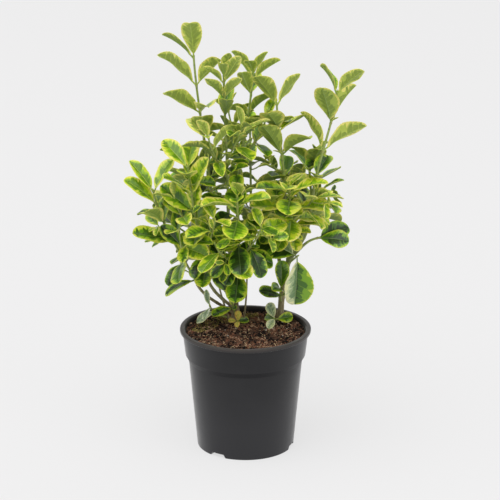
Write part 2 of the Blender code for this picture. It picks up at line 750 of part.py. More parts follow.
def make_limb(name, material):
    """A trunk or bough: one tapering limb. A bough is cut back to just clear of its parent."""
    points = limb_path(name)
    obj = new_object(name, *tube(points, limb_radii(name, points), LIMB_SIDES), material)
    if LIMBS[name]["parent"] is None:
        flatten_foot(obj)
    else:
        cut_clear(obj, LIMBS[name]["parent"])
    obj.data.shade_smooth()
    obj.data.set_sharp_from_angle(angle=math.radians(60))
    return obj


def cut_clear(obj, parent):
    """Cuts a bough or a mass back to just clear of the trunk that it leaves."""
    points = limb_path(parent)
    cutter = new_object(parent + "_cutter", *tube(points, limb_radii(parent, points, GAP), LIMB_SIDES))
    boolean(obj, "DIFFERENCE", cutter)
    tidy_mesh(obj)


def flatten_foot(obj):
    """Levels the lowest ring of a trunk, so that it is cut flat at the soil."""
    for vert in obj.data.vertices[:LIMB_SIDES]:
        vert.co.z = SOIL_TOP + GAP


def make_mass(name, twigs, leaves, material):
    """One mass of foliage: its twigs and leaves joined into a single body."""
    parts = bpy.data.collections.new(name + "_parts")
    bpy.context.scene.collection.children.link(parts)
    body = None
    for points, radii in twigs:
        twig = new_object(name, *tube(points, twig_radii(points, radii), TWIG_SIDES), material)
        if body is None:
            body = twig
        else:
            bpy.context.scene.collection.objects.unlink(twig)
            parts.objects.link(twig)
    for form in leaves:
        blade = new_object(name + "_leaf", *leaf(*form), material)
        bpy.context.scene.collection.objects.unlink(blade)
        parts.objects.link(blade)
    boolean(body, "UNION", collection=parts)
    tidy_mesh(body)
    carrier = MASSES[name][0]
    if isinstance(carrier, dict):
        cut_clear(body, carrier["trunk"])
    return body


def main():
    for obj in list(bpy.data.objects):
        bpy.data.objects.remove(obj)
    plastic = make_material("pot_plastic", (0.035, 0.035, 0.037), 0.42)
    earth = make_material("soil", (0.045, 0.028, 0.018), 0.95)
    bark = make_material("bark", (0.16, 0.12, 0.08), 0.85)
    foliage = make_material("foliage", (0.22, 0.34, 0.04), 0.45)
    plant = bpy.data.objects.new("plant", None)
    bpy.context.scene.collection.objects.link(plant)
    pieces = [make_pot(plastic), make_soil(earth)]
    limb_solids = []
    for name in LIMBS:
        pieces.append(make_limb(name, bark))
        points = limb_path(name)
        limb_solids.append(BVHTree.FromPolygons(*tube(points, limb_radii(name, points, GAP), LIMB_SIDES)))
    for name, (twigs, leaves) in grown_masses(limb_solids).items():
        pieces.append(make_mass(name, twigs, leaves, foliage))
        print(name, len(twigs), "twigs", len(leaves), "leaves", len(pieces[-1].data.polygons), "triangles")
    for piece in pieces:
        piece.parent = plant


main()
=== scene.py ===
import json
import math
import random

import bmesh
import bpy
import numpy as np
from mathutils import Matrix, Vector, noise
from mathutils.bvhtree import BVHTree

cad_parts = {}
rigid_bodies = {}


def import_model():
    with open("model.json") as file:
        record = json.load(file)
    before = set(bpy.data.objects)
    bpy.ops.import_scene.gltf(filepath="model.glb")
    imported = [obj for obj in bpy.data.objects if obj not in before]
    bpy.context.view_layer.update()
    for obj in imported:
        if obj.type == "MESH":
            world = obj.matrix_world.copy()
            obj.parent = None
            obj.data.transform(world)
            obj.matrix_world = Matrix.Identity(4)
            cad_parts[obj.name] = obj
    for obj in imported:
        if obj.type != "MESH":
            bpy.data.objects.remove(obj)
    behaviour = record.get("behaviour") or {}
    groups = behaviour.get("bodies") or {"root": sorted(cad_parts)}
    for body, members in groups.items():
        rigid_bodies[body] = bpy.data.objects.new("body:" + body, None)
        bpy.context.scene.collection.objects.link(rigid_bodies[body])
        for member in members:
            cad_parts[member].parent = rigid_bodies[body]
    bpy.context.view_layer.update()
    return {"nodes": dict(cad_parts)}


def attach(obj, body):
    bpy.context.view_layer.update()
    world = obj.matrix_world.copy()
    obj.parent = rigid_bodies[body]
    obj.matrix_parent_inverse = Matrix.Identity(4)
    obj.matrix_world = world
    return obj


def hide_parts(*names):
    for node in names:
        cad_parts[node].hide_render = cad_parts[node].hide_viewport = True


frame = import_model()
print("frame loaded,", len(frame["nodes"]), "nodes")

mm = 0.001
up = Vector((0, 0, 1))
back = Vector((0, 1, 0))
gap = 0.3 * mm


# helpers that every piece uses
def srgb(red, green, blue):
    # a colour as seen on screen, 0 to 255, to the linear values that a shader takes
    def linear(value):
        value = value / 255
        return value / 12.92 if value <= 0.04045 else ((value + 0.055) / 1.055) ** 2.4
    return (linear(red), linear(green), linear(blue), 1)


def principled(name, color, roughness, **sockets):
    material = bpy.data.materials.new(name)
    material.use_nodes = True
    shader = material.node_tree.nodes["Principled BSDF"]
    shader.inputs["Base Color"].default_value = color
    shader.inputs["Roughness"].default_value = roughness
    for socket, value in sockets.items():
        shader.inputs[socket.replace("_", " ")].default_value = value
    return material, material.node_tree, shader


def newPiece(name, verts, faces, materials, zones=None, sharp=None):
    mesh = bpy.data.meshes.new(name)
    mesh.from_pydata([tuple(vert) for vert in verts], [], faces)
    for material in materials:
        mesh.materials.append(material)
    if zones is not None:
        mesh.polygons.foreach_set("material_index", np.asarray(zones, dtype=np.int32))
    mesh.shade_smooth()
    if sharp:
        mesh.set_sharp_from_angle(angle=math.radians(sharp))
    piece = bpy.data.objects.new(name, mesh)
    bpy.context.scene.collection.objects.link(piece)
    return piece


def dress(piece, slot, *nodes):
    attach(piece, "root")
    if nodes:
        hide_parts(*nodes)


def turnedRings(profile, segments):
    # vertices and faces of a solid turned round Z; the profile is radius and height, from axis to axis
    verts = []
    rings = []
    for radius, height in profile:
        if radius == 0:
            rings.append([len(verts)] * segments)
            verts.append((0, 0, height))
            continue
        rings.append(list(range(len(verts), len(verts) + segments)))
        for step in range(segments):
            angle = math.tau * step / segments
            verts.append((radius * math.cos(angle), radius * math.sin(angle), height))
    faces = []
    for ring, nextRing in zip(rings, rings[1:]):
        for step in range(segments):
            after = (step + 1) % segments
            corners = [ring[step], nextRing[step], nextRing[after], ring[after]]
            faces.append(list(dict.fromkeys(corners)))
    return verts, faces


def rounded(points, steps):
    # a profile whose corners have a radius: each point is radius, height and the corner's own radius
    result = []
    for index, (radius, height, fillet) in enumerate(points):
        here = Vector((radius, height))
        if fillet == 0 or index in (0, len(points) - 1):
            result.append((radius, height))
            continue
        before = Vector(points[index - 1][:2]) - here
        after = Vector(points[index + 1][:2]) - here
        half = before.angle(after) / 2
        away = min(fillet / math.tan(half), before.length * 0.49, after.length * 0.49)
        start = here + before.normalized() * away
        end = here + after.normalized() * away
        for step in range(steps + 1):
            share = step / steps
            first = start.lerp(here, share)
            second = here.lerp(end, share)
            spot = first.lerp(second, share)
            result.append((spot.x, spot.y))
    return result


# camera: fitted to the ellipses of the pot's rim and foot
cameraLook = {
    "place": (5.883, -3035.7, 1287.86),
    "pitch": 18.604,
    "lens": 179.67,
}


def makeCamera():
    data = bpy.data.cameras.new("camera")
    data.lens = cameraLook["lens"]
    data.sensor_width = 36
    data.clip_end = 100
    camera = bpy.data.objects.new("camera", data)
    camera.location = Vector(cameraLook["place"]) * mm
    camera.rotation_euler = (math.radians(90 - cameraLook["pitch"]), 0, 0)
    bpy.context.scene.collection.objects.link(camera)
    bpy.context.scene.camera = camera


# floor and light: a plain pale studio
studioLook = {
    "floorSize": 30.0,
    "floorColor": srgb(120, 119, 120),
    "floorGlow": 0.66,
    "skyColor": (1.0, 1.0, 1.0),
    "skyStrength": 0.62,
    "keySize": 9.0,
    "keyPlace": (-1.6, -1.8, 6.0),
    "keyPower": 310,
    "fillSize": 1.4,
    "fillPlace": (1.8, -1.2, 1.6),
    "fillPower": 6,
}


def areaLight(name, place, size, power):
    data = bpy.data.lights.new(name, "AREA")
    data.shape = "DISK"
    data.size = size
    data.energy = power
    light = bpy.data.objects.new(name, data)
    light.location = place
    light.rotation_euler = (Vector((0, 0, 0.3)) - Vector(place)).to_track_quat("-Z", "Y").to_euler()
    bpy.context.scene.collection.objects.link(light)


def makeStudio():
    half = studioLook["floorSize"] / 2
    corners = [(-half, -half, 0), (half, -half, 0), (half, half, 0), (-half, half, 0)]
    paper, _, _ = principled(
        "studioPaper", studioLook["floorColor"], 0.9, Specular_IOR_Level=0.1,
        Emission_Color=(1, 1, 1, 1), Emission_Strength=studioLook["floorGlow"],
    )
    floor = newPiece("studio_floor", corners, [[0, 1, 2, 3]], [paper])
    world = bpy.data.worlds.new("studioSky")
    world.use_nodes = True
    sky = world.node_tree.nodes["Background"]
    sky.inputs["Color"].default_value = (*studioLook["skyColor"], 1)
    sky.inputs["Strength"].default_value = studioLook["skyStrength"]
    bpy.context.scene.world = world
    areaLight("key", studioLook["keyPlace"], studioLook["keySize"], studioLook["keyPower"])
    areaLight("fill", studioLook["fillPlace"], studioLook["fillSize"], studioLook["fillPower"])
    bpy.context.scene.view_settings.view_transform = "Standard"


makeCamera()
makeStudio()
print("camera and studio made")


# pot: a turned plastic nursery pot with a rolled rim, a collar and four drain notches; millimetres
potLook = {
    "segments": 192,
    "height": 160.5,
    "rimRadius": 85.0,
    "rimInner": 79.2,
    "lipThickness": 4.2,
    "collarTop": 81.5,
    "collarBottom": 78.0,
    "collarLow": 125.5,
    "stepRadius": 73.8,
    "stepLow": 118.0,
    "footRadius": 63.0,
    "wall": 2.0,
    "base": 7.0,
    "edge": 1.2,
    "notchHeight": 5.0,
    "notchDepth": 13.0,
    "notchWidth": 24.0,
    "notchSlope": 3.0,
    "notchAxis": 19.0,
    "notchSpread": 54.0,
}


def potProfile():
    look = potLook
    top = look["height"]
    underLip = top - look["lipThickness"]
    wall = look["wall"]
    edge = look["edge"]
    points = [
        (0, 0, 0),
        (look["footRadius"], 0, edge),
        (look["stepRadius"], look["stepLow"], 0.5),
        (look["collarBottom"], look["collarLow"], 1.1),
        (look["collarTop"], underLip - 0.6, 0.9),
        (look["rimRadius"], underLip, 1.1),
        (look["rimRadius"], top, 1.5),
        (look["rimInner"], top, 1.3),
        (look["collarBottom"] - wall, look["collarLow"] + wall, 0.5),
        (look["stepRadius"] - wall, look["stepLow"] + wall, 0.5),
        (look["footRadius"] - wall, look["base"], 1.0),
        (0, look["base"], 0),
    ]
    return [(radius * mm, height * mm) for radius, height in rounded(points, 5)]


def notchCutters():
    look = potLook
    inner = look["footRadius"] - look["notchDepth"]
    outer = look["footRadius"] + look["notchDepth"]
    low = look["notchWidth"] / 2 + look["notchSlope"]
    high = look["notchWidth"] / 2 - look["notchSlope"]
    verts = []
    faces = []
    for end in (0, 180):
        for side in (-1, 1):
            turn = Matrix.Rotation(math.radians(look["notchAxis"] + end + side * look["notchSpread"]), 3, "Z")
            start = len(verts)
            for radius in (inner, outer):
                for height, half in ((-look["notchHeight"], low), (look["notchHeight"], high)):
                    for across in (-half, half):
                        verts.append(turn @ Vector((across, -radius, height)) * mm)
            quads = [[0, 1, 3, 2], [4, 6, 7, 5], [0, 4, 5, 1], [2, 3, 7, 6], [0, 2, 6, 4], [1, 5, 7, 3]]
            faces += [[start + corner for corner in quad] for quad in quads]
    return newPiece("notch_cutters", verts, faces, [])


def potPlastic(name, specular, sheen):
    look = {"color": srgb(20, 20, 23), "worn": srgb(32, 32, 34), "dustAndReflection": srgb(66, 60, 57), "grain": 900, "smear": 18,
            "paintedFloorReflection": srgb(46, 46, 49)}
    material, tree, shader = principled(name, look["color"], 0.4, Specular_IOR_Level=specular, Sheen_Weight=sheen,
                                        Sheen_Roughness=0.3)
    coords = tree.nodes.new("ShaderNodeTexCoord")
    smear = tree.nodes.new("ShaderNodeTexNoise")
    smear.inputs["Scale"].default_value = look["smear"]
    smear.inputs["Detail"].default_value = 6
    smear.inputs["Roughness"].default_value = 0.62
    tree.links.new(coords.outputs["Object"], smear.inputs["Vector"])
    shade = tree.nodes.new("ShaderNodeValToRGB")
    shade.color_ramp.elements[0].position = 0.45
    shade.color_ramp.elements[0].color = look["color"]
    shade.color_ramp.elements[1].position = 0.8
    shade.color_ramp.elements[1].color = look["worn"]
    tree.links.new(smear.outputs["Fac"], shade.inputs["Fac"])
    spot = tree.nodes.new("ShaderNodeSeparateXYZ")
    tree.links.new(coords.outputs["Object"], spot.inputs["Vector"])
    # painted reflection with dust: from 155 to 159 mm the lip's top blends towards a lighter brownish grey, standing
    # for the sky reflected on it, tinted like soil dust
    lipReflectionShare = tree.nodes.new("ShaderNodeMapRange")
    lipReflectionShare.inputs["From Min"].default_value = 155 * mm
    lipReflectionShare.inputs["From Max"].default_value = 159 * mm
    lipReflectionShare.inputs["To Max"].default_value = 0.75
    tree.links.new(spot.outputs["Z"], lipReflectionShare.inputs["Value"])
    dustAndReflectionMix = tree.nodes.new("ShaderNodeMix")
    dustAndReflectionMix.data_type = "RGBA"
    dustAndReflectionMix.inputs[7].default_value = look["dustAndReflection"]
    tree.links.new(lipReflectionShare.outputs["Result"], dustAndReflectionMix.inputs[0])
    # painted reflection: below 118 mm the plastic blends more and more towards a lighter grey, down to 40 mm, standing
    # for the bright floor reflected in the lower body
    low = tree.nodes.new("ShaderNodeMapRange")
    low.inputs["From Min"].default_value = 118 * mm
    low.inputs["From Max"].default_value = 40 * mm
    low.inputs["To Max"].default_value = 0.6
    tree.links.new(spot.outputs["Z"], low.inputs["Value"])
    paintedFloorReflection = tree.nodes.new("ShaderNodeMix")
    paintedFloorReflection.data_type = "RGBA"
    paintedFloorReflection.inputs[7].default_value = look["paintedFloorReflection"]
    tree.links.new(low.outputs["Result"], paintedFloorReflection.inputs[0])
    tree.links.new(shade.outputs["Color"], paintedFloorReflection.inputs[6])
    tree.links.new(paintedFloorReflection.outputs[2], dustAndReflectionMix.inputs[6])
    tree.links.new(dustAndReflectionMix.outputs[2], shader.inputs["Base Color"])
    dull = tree.nodes.new("ShaderNodeMapRange")
    dull.inputs["From Min"].default_value = 0.3
    dull.inputs["From Max"].default_value = 0.75
    dull.inputs["To Min"].default_value = 0.36
    dull.inputs["To Max"].default_value = 0.52
    tree.links.new(smear.outputs["Fac"], dull.inputs["Value"])
    tree.links.new(dull.outputs["Result"], shader.inputs["Roughness"])
    grain = tree.nodes.new("ShaderNodeTexNoise")
    grain.inputs["Scale"].default_value = look["grain"]
    grain.inputs["Detail"].default_value = 3
    tree.links.new(coords.outputs["Object"], grain.inputs["Vector"])
    bump = tree.nodes.new("ShaderNodeBump")
    bump.inputs["Strength"].default_value = 0.12
    bump.inputs["Distance"].default_value = 0.0004
    tree.links.new(grain.outputs["Fac"], bump.inputs["Height"])
    tree.links.new(bump.outputs["Normal"], shader.inputs["Normal"])
    return material


def makePot():
    verts, faces = turnedRings(potProfile(), potLook["segments"])
    # the second plastic is a shaded copy: the same colours with less specular and sheen, put on the faces of the slope
    # under the collar so that the slope reads darker, as if in the collar's shade
    plastics = [potPlastic("potPlastic", 0.36, 0.5), potPlastic("potSlopeShaded", 0.16, 0.12)]
    middles = [sum(verts[corner][2] for corner in face) / len(face) / mm for face in faces]
    outside = [max(math.hypot(*verts[corner][:2]) for corner in face) > potLook["stepRadius"] * mm - 0.1 * mm
               for face in faces]
    zones = [int(potLook["stepLow"] < middle < potLook["collarLow"] - 0.9 and out) for middle, out in zip(middles, outside)]
    pot = newPiece("pot_shell", verts, faces, plastics, zones)
    form = bmesh.new()
    form.from_mesh(pot.data)
    bmesh.ops.recalc_face_normals(form, faces=form.faces)
    form.to_mesh(pot.data)
    form.free()
    cutters = notchCutters()
    form = bmesh.new()
    form.from_mesh(cutters.data)
    bmesh.ops.recalc_face_normals(form, faces=form.faces)
    form.to_mesh(cutters.data)
    form.free()
    cut = pot.modifiers.new("notches", "BOOLEAN")
    cut.operation = "DIFFERENCE"
    cut.solver = "EXACT"
    cut.object = cutters
    shape = bpy.data.meshes.new_from_object(pot.evaluated_get(bpy.context.evaluated_depsgraph_get()))
    pot.modifiers.clear()
    pot.data = shape
    bpy.data.objects.remove(cutters)
    pot.data.shade_smooth()
    pot.data.set_sharp_from_angle(angle=math.radians(32))
    dress(pot, "pot", "pot")


makePot()
print("pot made")


# soil: an uneven surface with crumbs, bark fibres, pale bits and moss; millimetres
soilLook = {
    "seed": 7,
    "top": 153.0,
    "sideGap": 0.4,
    "rings": 64,
    "segments": 180,
    "lump": 2.4,
    "grit": 1.5,
    "mound": 2.2,
    "moundWidth": 13.0,
    "rimDip": -3.0,
    "crumbs": 7400,
    "crumbSize": (0.3, 2.0),
    "clumps": ((0.06, 3.0), (0.17, 2.2)),
    "fibres": 1700,
    "fibreLength": (2.0, 12.0),
    "paleBits": 80,
    "mossPatches": ((-50, 26, 15), (-30, 46, 12), (-60, 4, 9), (8, 60, 9)),
    "mossTufts": 300,
}
stemFeet = (Vector((-12, 42)), Vector((46, 48)))


def soilHeight(x, y):
    look = soilLook
    radius = math.hypot(x, y)
    height = look["top"] - look["rimDip"] * (radius / potLook["rimInner"]) ** 4
    height += look["lump"] * noise.noise(Vector((x * 0.045, y * 0.045, 3.1)))
    height += look["grit"] * noise.noise(Vector((x * 0.21, y * 0.21, 8.4)))
    height += look["grit"] * 0.6 * noise.noise(Vector((x * 0.55, y * 0.55, 1.7)))
    for foot in stemFeet:
        away = (Vector((x, y)) - foot).length
        height += look["mound"] * math.exp(-((away / look["moundWidth"]) ** 2))
    return height


def wallRadiusInside(height):
    look = potLook
    low = look["collarBottom"] - look["wall"]
    share = (height - look["collarLow"] - look["wall"]) / (look["height"] - look["edge"] - look["collarLow"] - look["wall"])
    return low + (look["rimInner"] - low) * share


def earth(name, dark, light, grain):
    material, tree, shader = principled(name, dark, 0.93, Specular_IOR_Level=0.25)
    coords = tree.nodes.new("ShaderNodeTexCoord")
    specks = tree.nodes.new("ShaderNodeTexNoise")
    specks.inputs["Scale"].default_value = grain
    specks.inputs["Detail"].default_value = 8
    specks.inputs["Roughness"].default_value = 0.7
    tree.links.new(coords.outputs["Object"], specks.inputs["Vector"])
    ramp = tree.nodes.new("ShaderNodeValToRGB")
    ramp.color_ramp.elements[0].position = 0.40
    ramp.color_ramp.elements[0].color = dark
    ramp.color_ramp.elements[1].position = 0.66
    ramp.color_ramp.elements[1].color = light
    tree.links.new(specks.outputs["Fac"], ramp.inputs["Fac"])
    tree.links.new(ramp.outputs["Color"], shader.inputs["Base Color"])
    bump = tree.nodes.new("ShaderNodeBump")
    bump.inputs["Strength"].default_value = 0.7
    bump.inputs["Distance"].default_value = 0.0012
    tree.links.new(specks.outputs["Fac"], bump.inputs["Height"])
    tree.links.new(bump.outputs["Normal"], shader.inputs["Normal"])
    return material


def makeSoilBody():
    look = soilLook
    verts = []
    faces = []
    segments = look["segments"]
    edgeRadius = wallRadiusInside(look["top"] - 1.5) - look["sideGap"]
    verts.append((0, 0, soilHeight(0, 0)))
    for ring in range(1, look["rings"] + 1):
        radius = edgeRadius * ring / look["rings"]
        for step in range(segments):
            angle = math.tau * step / segments
            x = radius * math.cos(angle)
            y = radius * math.sin(angle)
            height = soilHeight(x, y)
            if ring == look["rings"]:
                height = min(height, look["top"] - 1.5)
            verts.append((x, y, height))
    under = [
        (look["top"] - 10, wallRadiusInside(look["top"] - 10) - look["sideGap"]),
        (potLook["collarLow"] + 3, potLook["collarBottom"] - potLook["wall"] - 0.5),
        (potLook["stepLow"] + 2, potLook["stepRadius"] - potLook["wall"] - look["sideGap"]),
        (potLook["base"] + 0.3, potLook["footRadius"] - potLook["wall"] - look["sideGap"]),
    ]
    for height, radius in under:
        for step in range(segments):
            angle = math.tau * step / segments
            verts.append((radius * math.cos(angle), radius * math.sin(angle), height))
    for step in range(segments):
        faces.append([0, 1 + step, 1 + (step + 1) % segments])
    for ring in range(look["rings"] + len(under) - 1):
        for step in range(segments):
            low = 1 + ring * segments
            after = (step + 1) % segments
            faces.append([low + step, low + segments + step, low + segments + after, low + after])
    last = 1 + (look["rings"] + len(under) - 1) * segments
    faces.append([last + step for step in range(segments)][::-1])
    dark = earth("pottingSoil", srgb(22, 16, 12), srgb(130, 100, 82), 400)
    soil = newPiece("soil_body", [Vector(vert) * mm for vert in verts], faces, [dark])
    dress(soil, "soil", "soil")


def blob(rng, detail=1):
    # a small irregular lump of unit size
    form = bmesh.new()
    bmesh.ops.create_icosphere(form, subdivisions=detail, radius=1)
    offset = Vector((rng.uniform(0, 50), rng.uniform(0, 50), rng.uniform(0, 50)))
    verts = [vert.co * (1 + 0.55 * noise.noise(vert.co * 1.6 + offset)) for vert in form.verts]
    faces = [[vert.index for vert in face.verts] for face in form.faces]
    form.free()
    return verts, faces


def onSoil(rng, reach):
    # a random spot on the soil, spread evenly over its disc
    radius = reach * math.sqrt(rng.random())
    angle = rng.uniform(0, math.tau)
    return radius * math.cos(angle), radius * math.sin(angle)


def makeCrumbs():
    look = soilLook
    rng = random.Random(look["seed"])
    blobs = [blob(rng) for _ in range(8)]
    materials = [
        principled("crumbDark", srgb(24, 17, 14), 0.95, Specular_IOR_Level=0.2)[0],
        principled("crumbBrown", srgb(88, 64, 52), 0.95, Specular_IOR_Level=0.2)[0],
        principled("crumbRust", srgb(128, 88, 68), 0.95, Specular_IOR_Level=0.2)[0],
        principled("crumbTan", srgb(176, 142, 116), 0.95, Specular_IOR_Level=0.2)[0],
    ]
    verts = []
    faces = []
    zones = []
    for _ in range(look["crumbs"]):
        x, y = onSoil(rng, potLook["rimInner"] - 3)
        low, high = look["crumbSize"]
        size = low + (high - low) * rng.random() ** 2.4
        shape, shapeFaces = rng.choice(blobs)
        stretch = Matrix.Diagonal((size * rng.uniform(0.6, 1.3), size * rng.uniform(0.6, 1.3), size * rng.uniform(0.4, 0.9)))
        turn = Matrix.Rotation(rng.uniform(0, math.tau), 3, "Z") @ Matrix.Rotation(rng.uniform(-0.6, 0.6), 3, "X")
        place = Vector((x, y, soilHeight(x, y) + size * 0.15))
        start = len(verts)
        verts += [(turn @ (stretch @ vert) + place) * mm for vert in shape]
        faces += [[start + corner for corner in face] for face in shapeFaces]
        tone = rng.gauss(0.72, 0.85) + sum(size * noise.noise(Vector((x, y, 5)) * step) for step, size in look["clumps"])
        zones += [min(3, max(0, round(tone)))] * len(shapeFaces)
    crumbs = newPiece("soil_crumbs", verts, faces, materials, zones)
    dress(crumbs, "soil")


def ribbon(points, widths, thickness, face=up):
    # vertices and faces of a thin flat strip along a path
    verts = []
    for index, point in enumerate(points):
        before = points[max(index - 1, 0)]
        after = points[min(index + 1, len(points) - 1)]
        way = (after - before).normalized()
        side = way.cross(face).normalized()
        normal = side.cross(way).normalized()
        half = widths[index] / 2
        thick = normal * thickness / 2
        verts += [point - side * half - thick, point + side * half - thick]
        verts += [point + side * half + thick, point - side * half + thick]
    faces = [[0, 1, 2, 3]]
    for index in range(len(points) - 1):
        for corner in range(4):
            low = index * 4 + corner
            after = index * 4 + (corner + 1) % 4
            faces.append([low, low + 4, after + 4, after])
    last = len(verts) - 4
    faces.append([last + 3, last + 2, last + 1, last])
    return verts, faces


def makeFibres():
    look = soilLook
    rng = random.Random(look["seed"] + 1)
    materials = [
        principled("fibreRust", srgb(134, 86, 62), 0.9, Specular_IOR_Level=0.2)[0],
        principled("fibreBrown", srgb(62, 45, 35), 0.9, Specular_IOR_Level=0.2)[0],
        principled("fibreTan", srgb(220, 192, 152), 0.9, Specular_IOR_Level=0.2)[0],
    ]
    verts = []
    faces = []
    zones = []
    for _ in range(look["fibres"]):
        x, y = onSoil(rng, potLook["rimInner"] - 8)
        low, high = look["fibreLength"]
        length = low + (high - low) * rng.random() ** 2
        angle = rng.uniform(0, math.tau)
        bend = rng.uniform(-0.9, 0.9)
        tilt = rng.uniform(-0.12, 0.2)
        width = rng.uniform(0.25, 0.8)
        points = []
        spot = Vector((x, y, 0))
        for step in range(6):
            turn = angle + bend * (step / 5 - 0.5)
            spot = spot + Vector((math.cos(turn), math.sin(turn), 0)) * (length / 5)
            if spot.xy.length > potLook["rimInner"] - 4:
                spot = spot.normalized() * (potLook["rimInner"] - 4)
            lift = 0.3 + max(0.0, tilt * (step - 1))
            points.append(Vector((spot.x, spot.y, soilHeight(spot.x, spot.y) + lift)))
        if (points[-1] - points[0]).length < length * 0.3:
            continue
        widths = [width * share for share in (0.35, 0.8, 1.0, 0.95, 0.7, 0.3)]
        strip, stripFaces = ribbon(points, widths, min(0.5, width * 0.45))
        start = len(verts)
        verts += [vert * mm for vert in strip]
        faces += [[start + corner for corner in face] for face in stripFaces]
        zones += [rng.choices(range(3), weights=(38, 38, 24))[0]] * len(stripFaces)
    fibres = newPiece("soil_fibres", verts, faces, materials, zones, 40)
    dress(fibres, "soil")


def makePaleBits():
    look = soilLook
    rng = random.Random(look["seed"] + 2)
    white = principled("perlite", srgb(214, 206, 192), 0.9)[0]
    straw = principled("straw", srgb(186, 158, 112), 0.85)[0]
    verts = []
    faces = []
    zones = []
    for _ in range(look["paleBits"]):
        x, y = onSoil(rng, potLook["rimInner"] - 6)
        size = rng.uniform(0.35, 1.0)
        shape, shapeFaces = blob(rng)
        place = Vector((x, y, soilHeight(x, y) + size * 0.5))
        stretch = Matrix.Diagonal((size * rng.uniform(0.8, 1.8), size, size * 0.7))
        turn = Matrix.Rotation(rng.uniform(0, math.tau), 3, "Z")
        start = len(verts)
        verts += [(turn @ (stretch @ vert) + place) * mm for vert in shape]
        faces += [[start + corner for corner in face] for face in shapeFaces]
        zones += [rng.choices(range(2), weights=(6, 4))[0]] * len(shapeFaces)
    bits = newPiece("soil_pale_bits", verts, faces, [white, straw], zones)
    dress(bits, "soil")


def makeMoss():
    look = soilLook
    rng = random.Random(look["seed"] + 3)
    materials = [
        principled("mossDark", srgb(110, 102, 46), 0.9)[0],
        principled("mossLight", srgb(182, 160, 92), 0.9)[0],
    ]
    verts = []
    faces = []
    zones = []
    for patchX, patchY, reach in look["mossPatches"]:
        for _ in range(look["mossTufts"]):
            radius = reach * math.sqrt(rng.random())
            angle = rng.uniform(0, math.tau)
            x = patchX + radius * math.cos(angle)
            y = patchY + radius * math.sin(angle)
            if math.hypot(x, y) > potLook["rimInner"] - 4:
                continue
            foot = Vector((x, y, soilHeight(x, y) - 0.2))
            height = rng.uniform(1.2, 3.2)
            lean = Vector((rng.uniform(-0.8, 0.8), rng.uniform(-0.8, 0.8), 1)).normalized()
            start = len(verts)
            for corner in range(4):
                turn = math.tau * corner / 4 + angle
                verts.append((foot + Vector((math.cos(turn), math.sin(turn), 0)) * height * 0.32) * mm)
            verts.append((foot + lean * height) * mm)
            faces += [[start + corner, start + (corner + 1) % 4, start + 4] for corner in range(4)]
            faces.append([start + 3, start + 2, start + 1, start])
            zones += [rng.choices(range(2), weights=(6, 4))[0]] * 5
    moss = newPiece("soil_moss", verts, faces, materials, zones)
    dress(moss, "soil")


makeSoilBody()
makeCrumbs()
makeFibres()
makePaleBits()
makeMoss()
print("soil made")


# the plant's own rule: the same stems, boughs, shoots and leaves as the solids
growth = {
    "soilTop": 153.0 * mm,
    "potHeight": 160.5 * mm,
    "rimInner": 79.2 * mm,
    "limbSides": 7,
    "limbSteps": 7,
    "flareHeight": 14.0 * mm,
    "flare": 0.75,
    "twigSides": 3,
    "twigSpacing": 24.0 * mm,
    "leaderRadii": (2.5 * mm, 1.9 * mm),
    "shootRadii": (2.0 * mm, 1.6 * mm),
    "leafWidth": 0.58,
    "leafThickness": 0.024,
    "leafRootWidth": 0.03,
    "leafSections": ((0.36, 0.86), (0.78, 0.90)),
    "leafArch": 26.0,
    "clearance": 0.6 * mm,
    "rimClearance": 3.0 * mm,
    "bladeStart": 0.16,
    "firstLeafShare": 0.82,
    "lastPair": 0.985,
    "turnJitter": 6.0,
    "spreadJitter": 5.0,
    "rollJitter": 12.0,
    "lengthJitter": 0.08,
    "crownSpan": (260.0 * mm, 400.0 * mm),
    "crownAxis": (8.0 * mm, 45.0 * mm),
    "crownCore": 40.0 * mm,
    "upwardLight": 0.6,
    "outwardLight": (0.75, 0.0),
    "backwardLight": (0.0, 0.9),
    "leafFold": (12.0, 20.0),
    "spreadShares": (1.3, 0.7),
    "sideOut": 1.3,
    "sideAlong": 0.2,
    "sideDown": 0.3,
    "seed": 41,
}
leafTries = (
    (0, 0, 1.0),
    (13, 0, 1.0),
    (-13, 0, 1.0),
    (0, 13, 1.0),
    (0, -13, 1.0),
    (26, 6, 0.9),
    (-26, 6, 0.9),
    (0, -24, 0.85),
    (0, 26, 0.85),
    (20, -12, 0.7),
    (-20, -12, 0.7),
)


def limb(parent, at, tip, radii, footWay=(0, 0, 1), tipWay=(0, 0, 1)):
    # a trunk or bough; it leaves its parent at the height given, and tip is its far end
    return {
        "parent": parent,
        "at": at,
        "tip": Vector(tip) * mm,
        "radii": (radii[0] * mm, radii[1] * mm),
        "footWay": Vector(footWay).normalized(),
        "tipWay": Vector(tipWay).normalized(),
    }


def shoot(tip, pairs, leaf, turn=0, root=None, bare=0.1, spread=50, rise=0.5, broad=1.0, tipShare=0.7,
          crowd=1.2, facing=0.0):
    # a shoot of a mass; root is where it leaves the mass's own stem, from 0 to 1
    return {
        "tip": Vector(tip) * mm,
        "pairs": pairs,
        "leaf": leaf * mm,
        "turn": turn,
        "root": root,
        "bare": bare,
        "spread": spread,
        "rise": rise,
        "broad": broad,
        "tipShare": tipShare,
        "crowd": crowd,
        "facing": facing,
    }


def fromTrunk(name, height, way):
    return {"trunk": name, "height": height * mm, "way": Vector(way).normalized()}


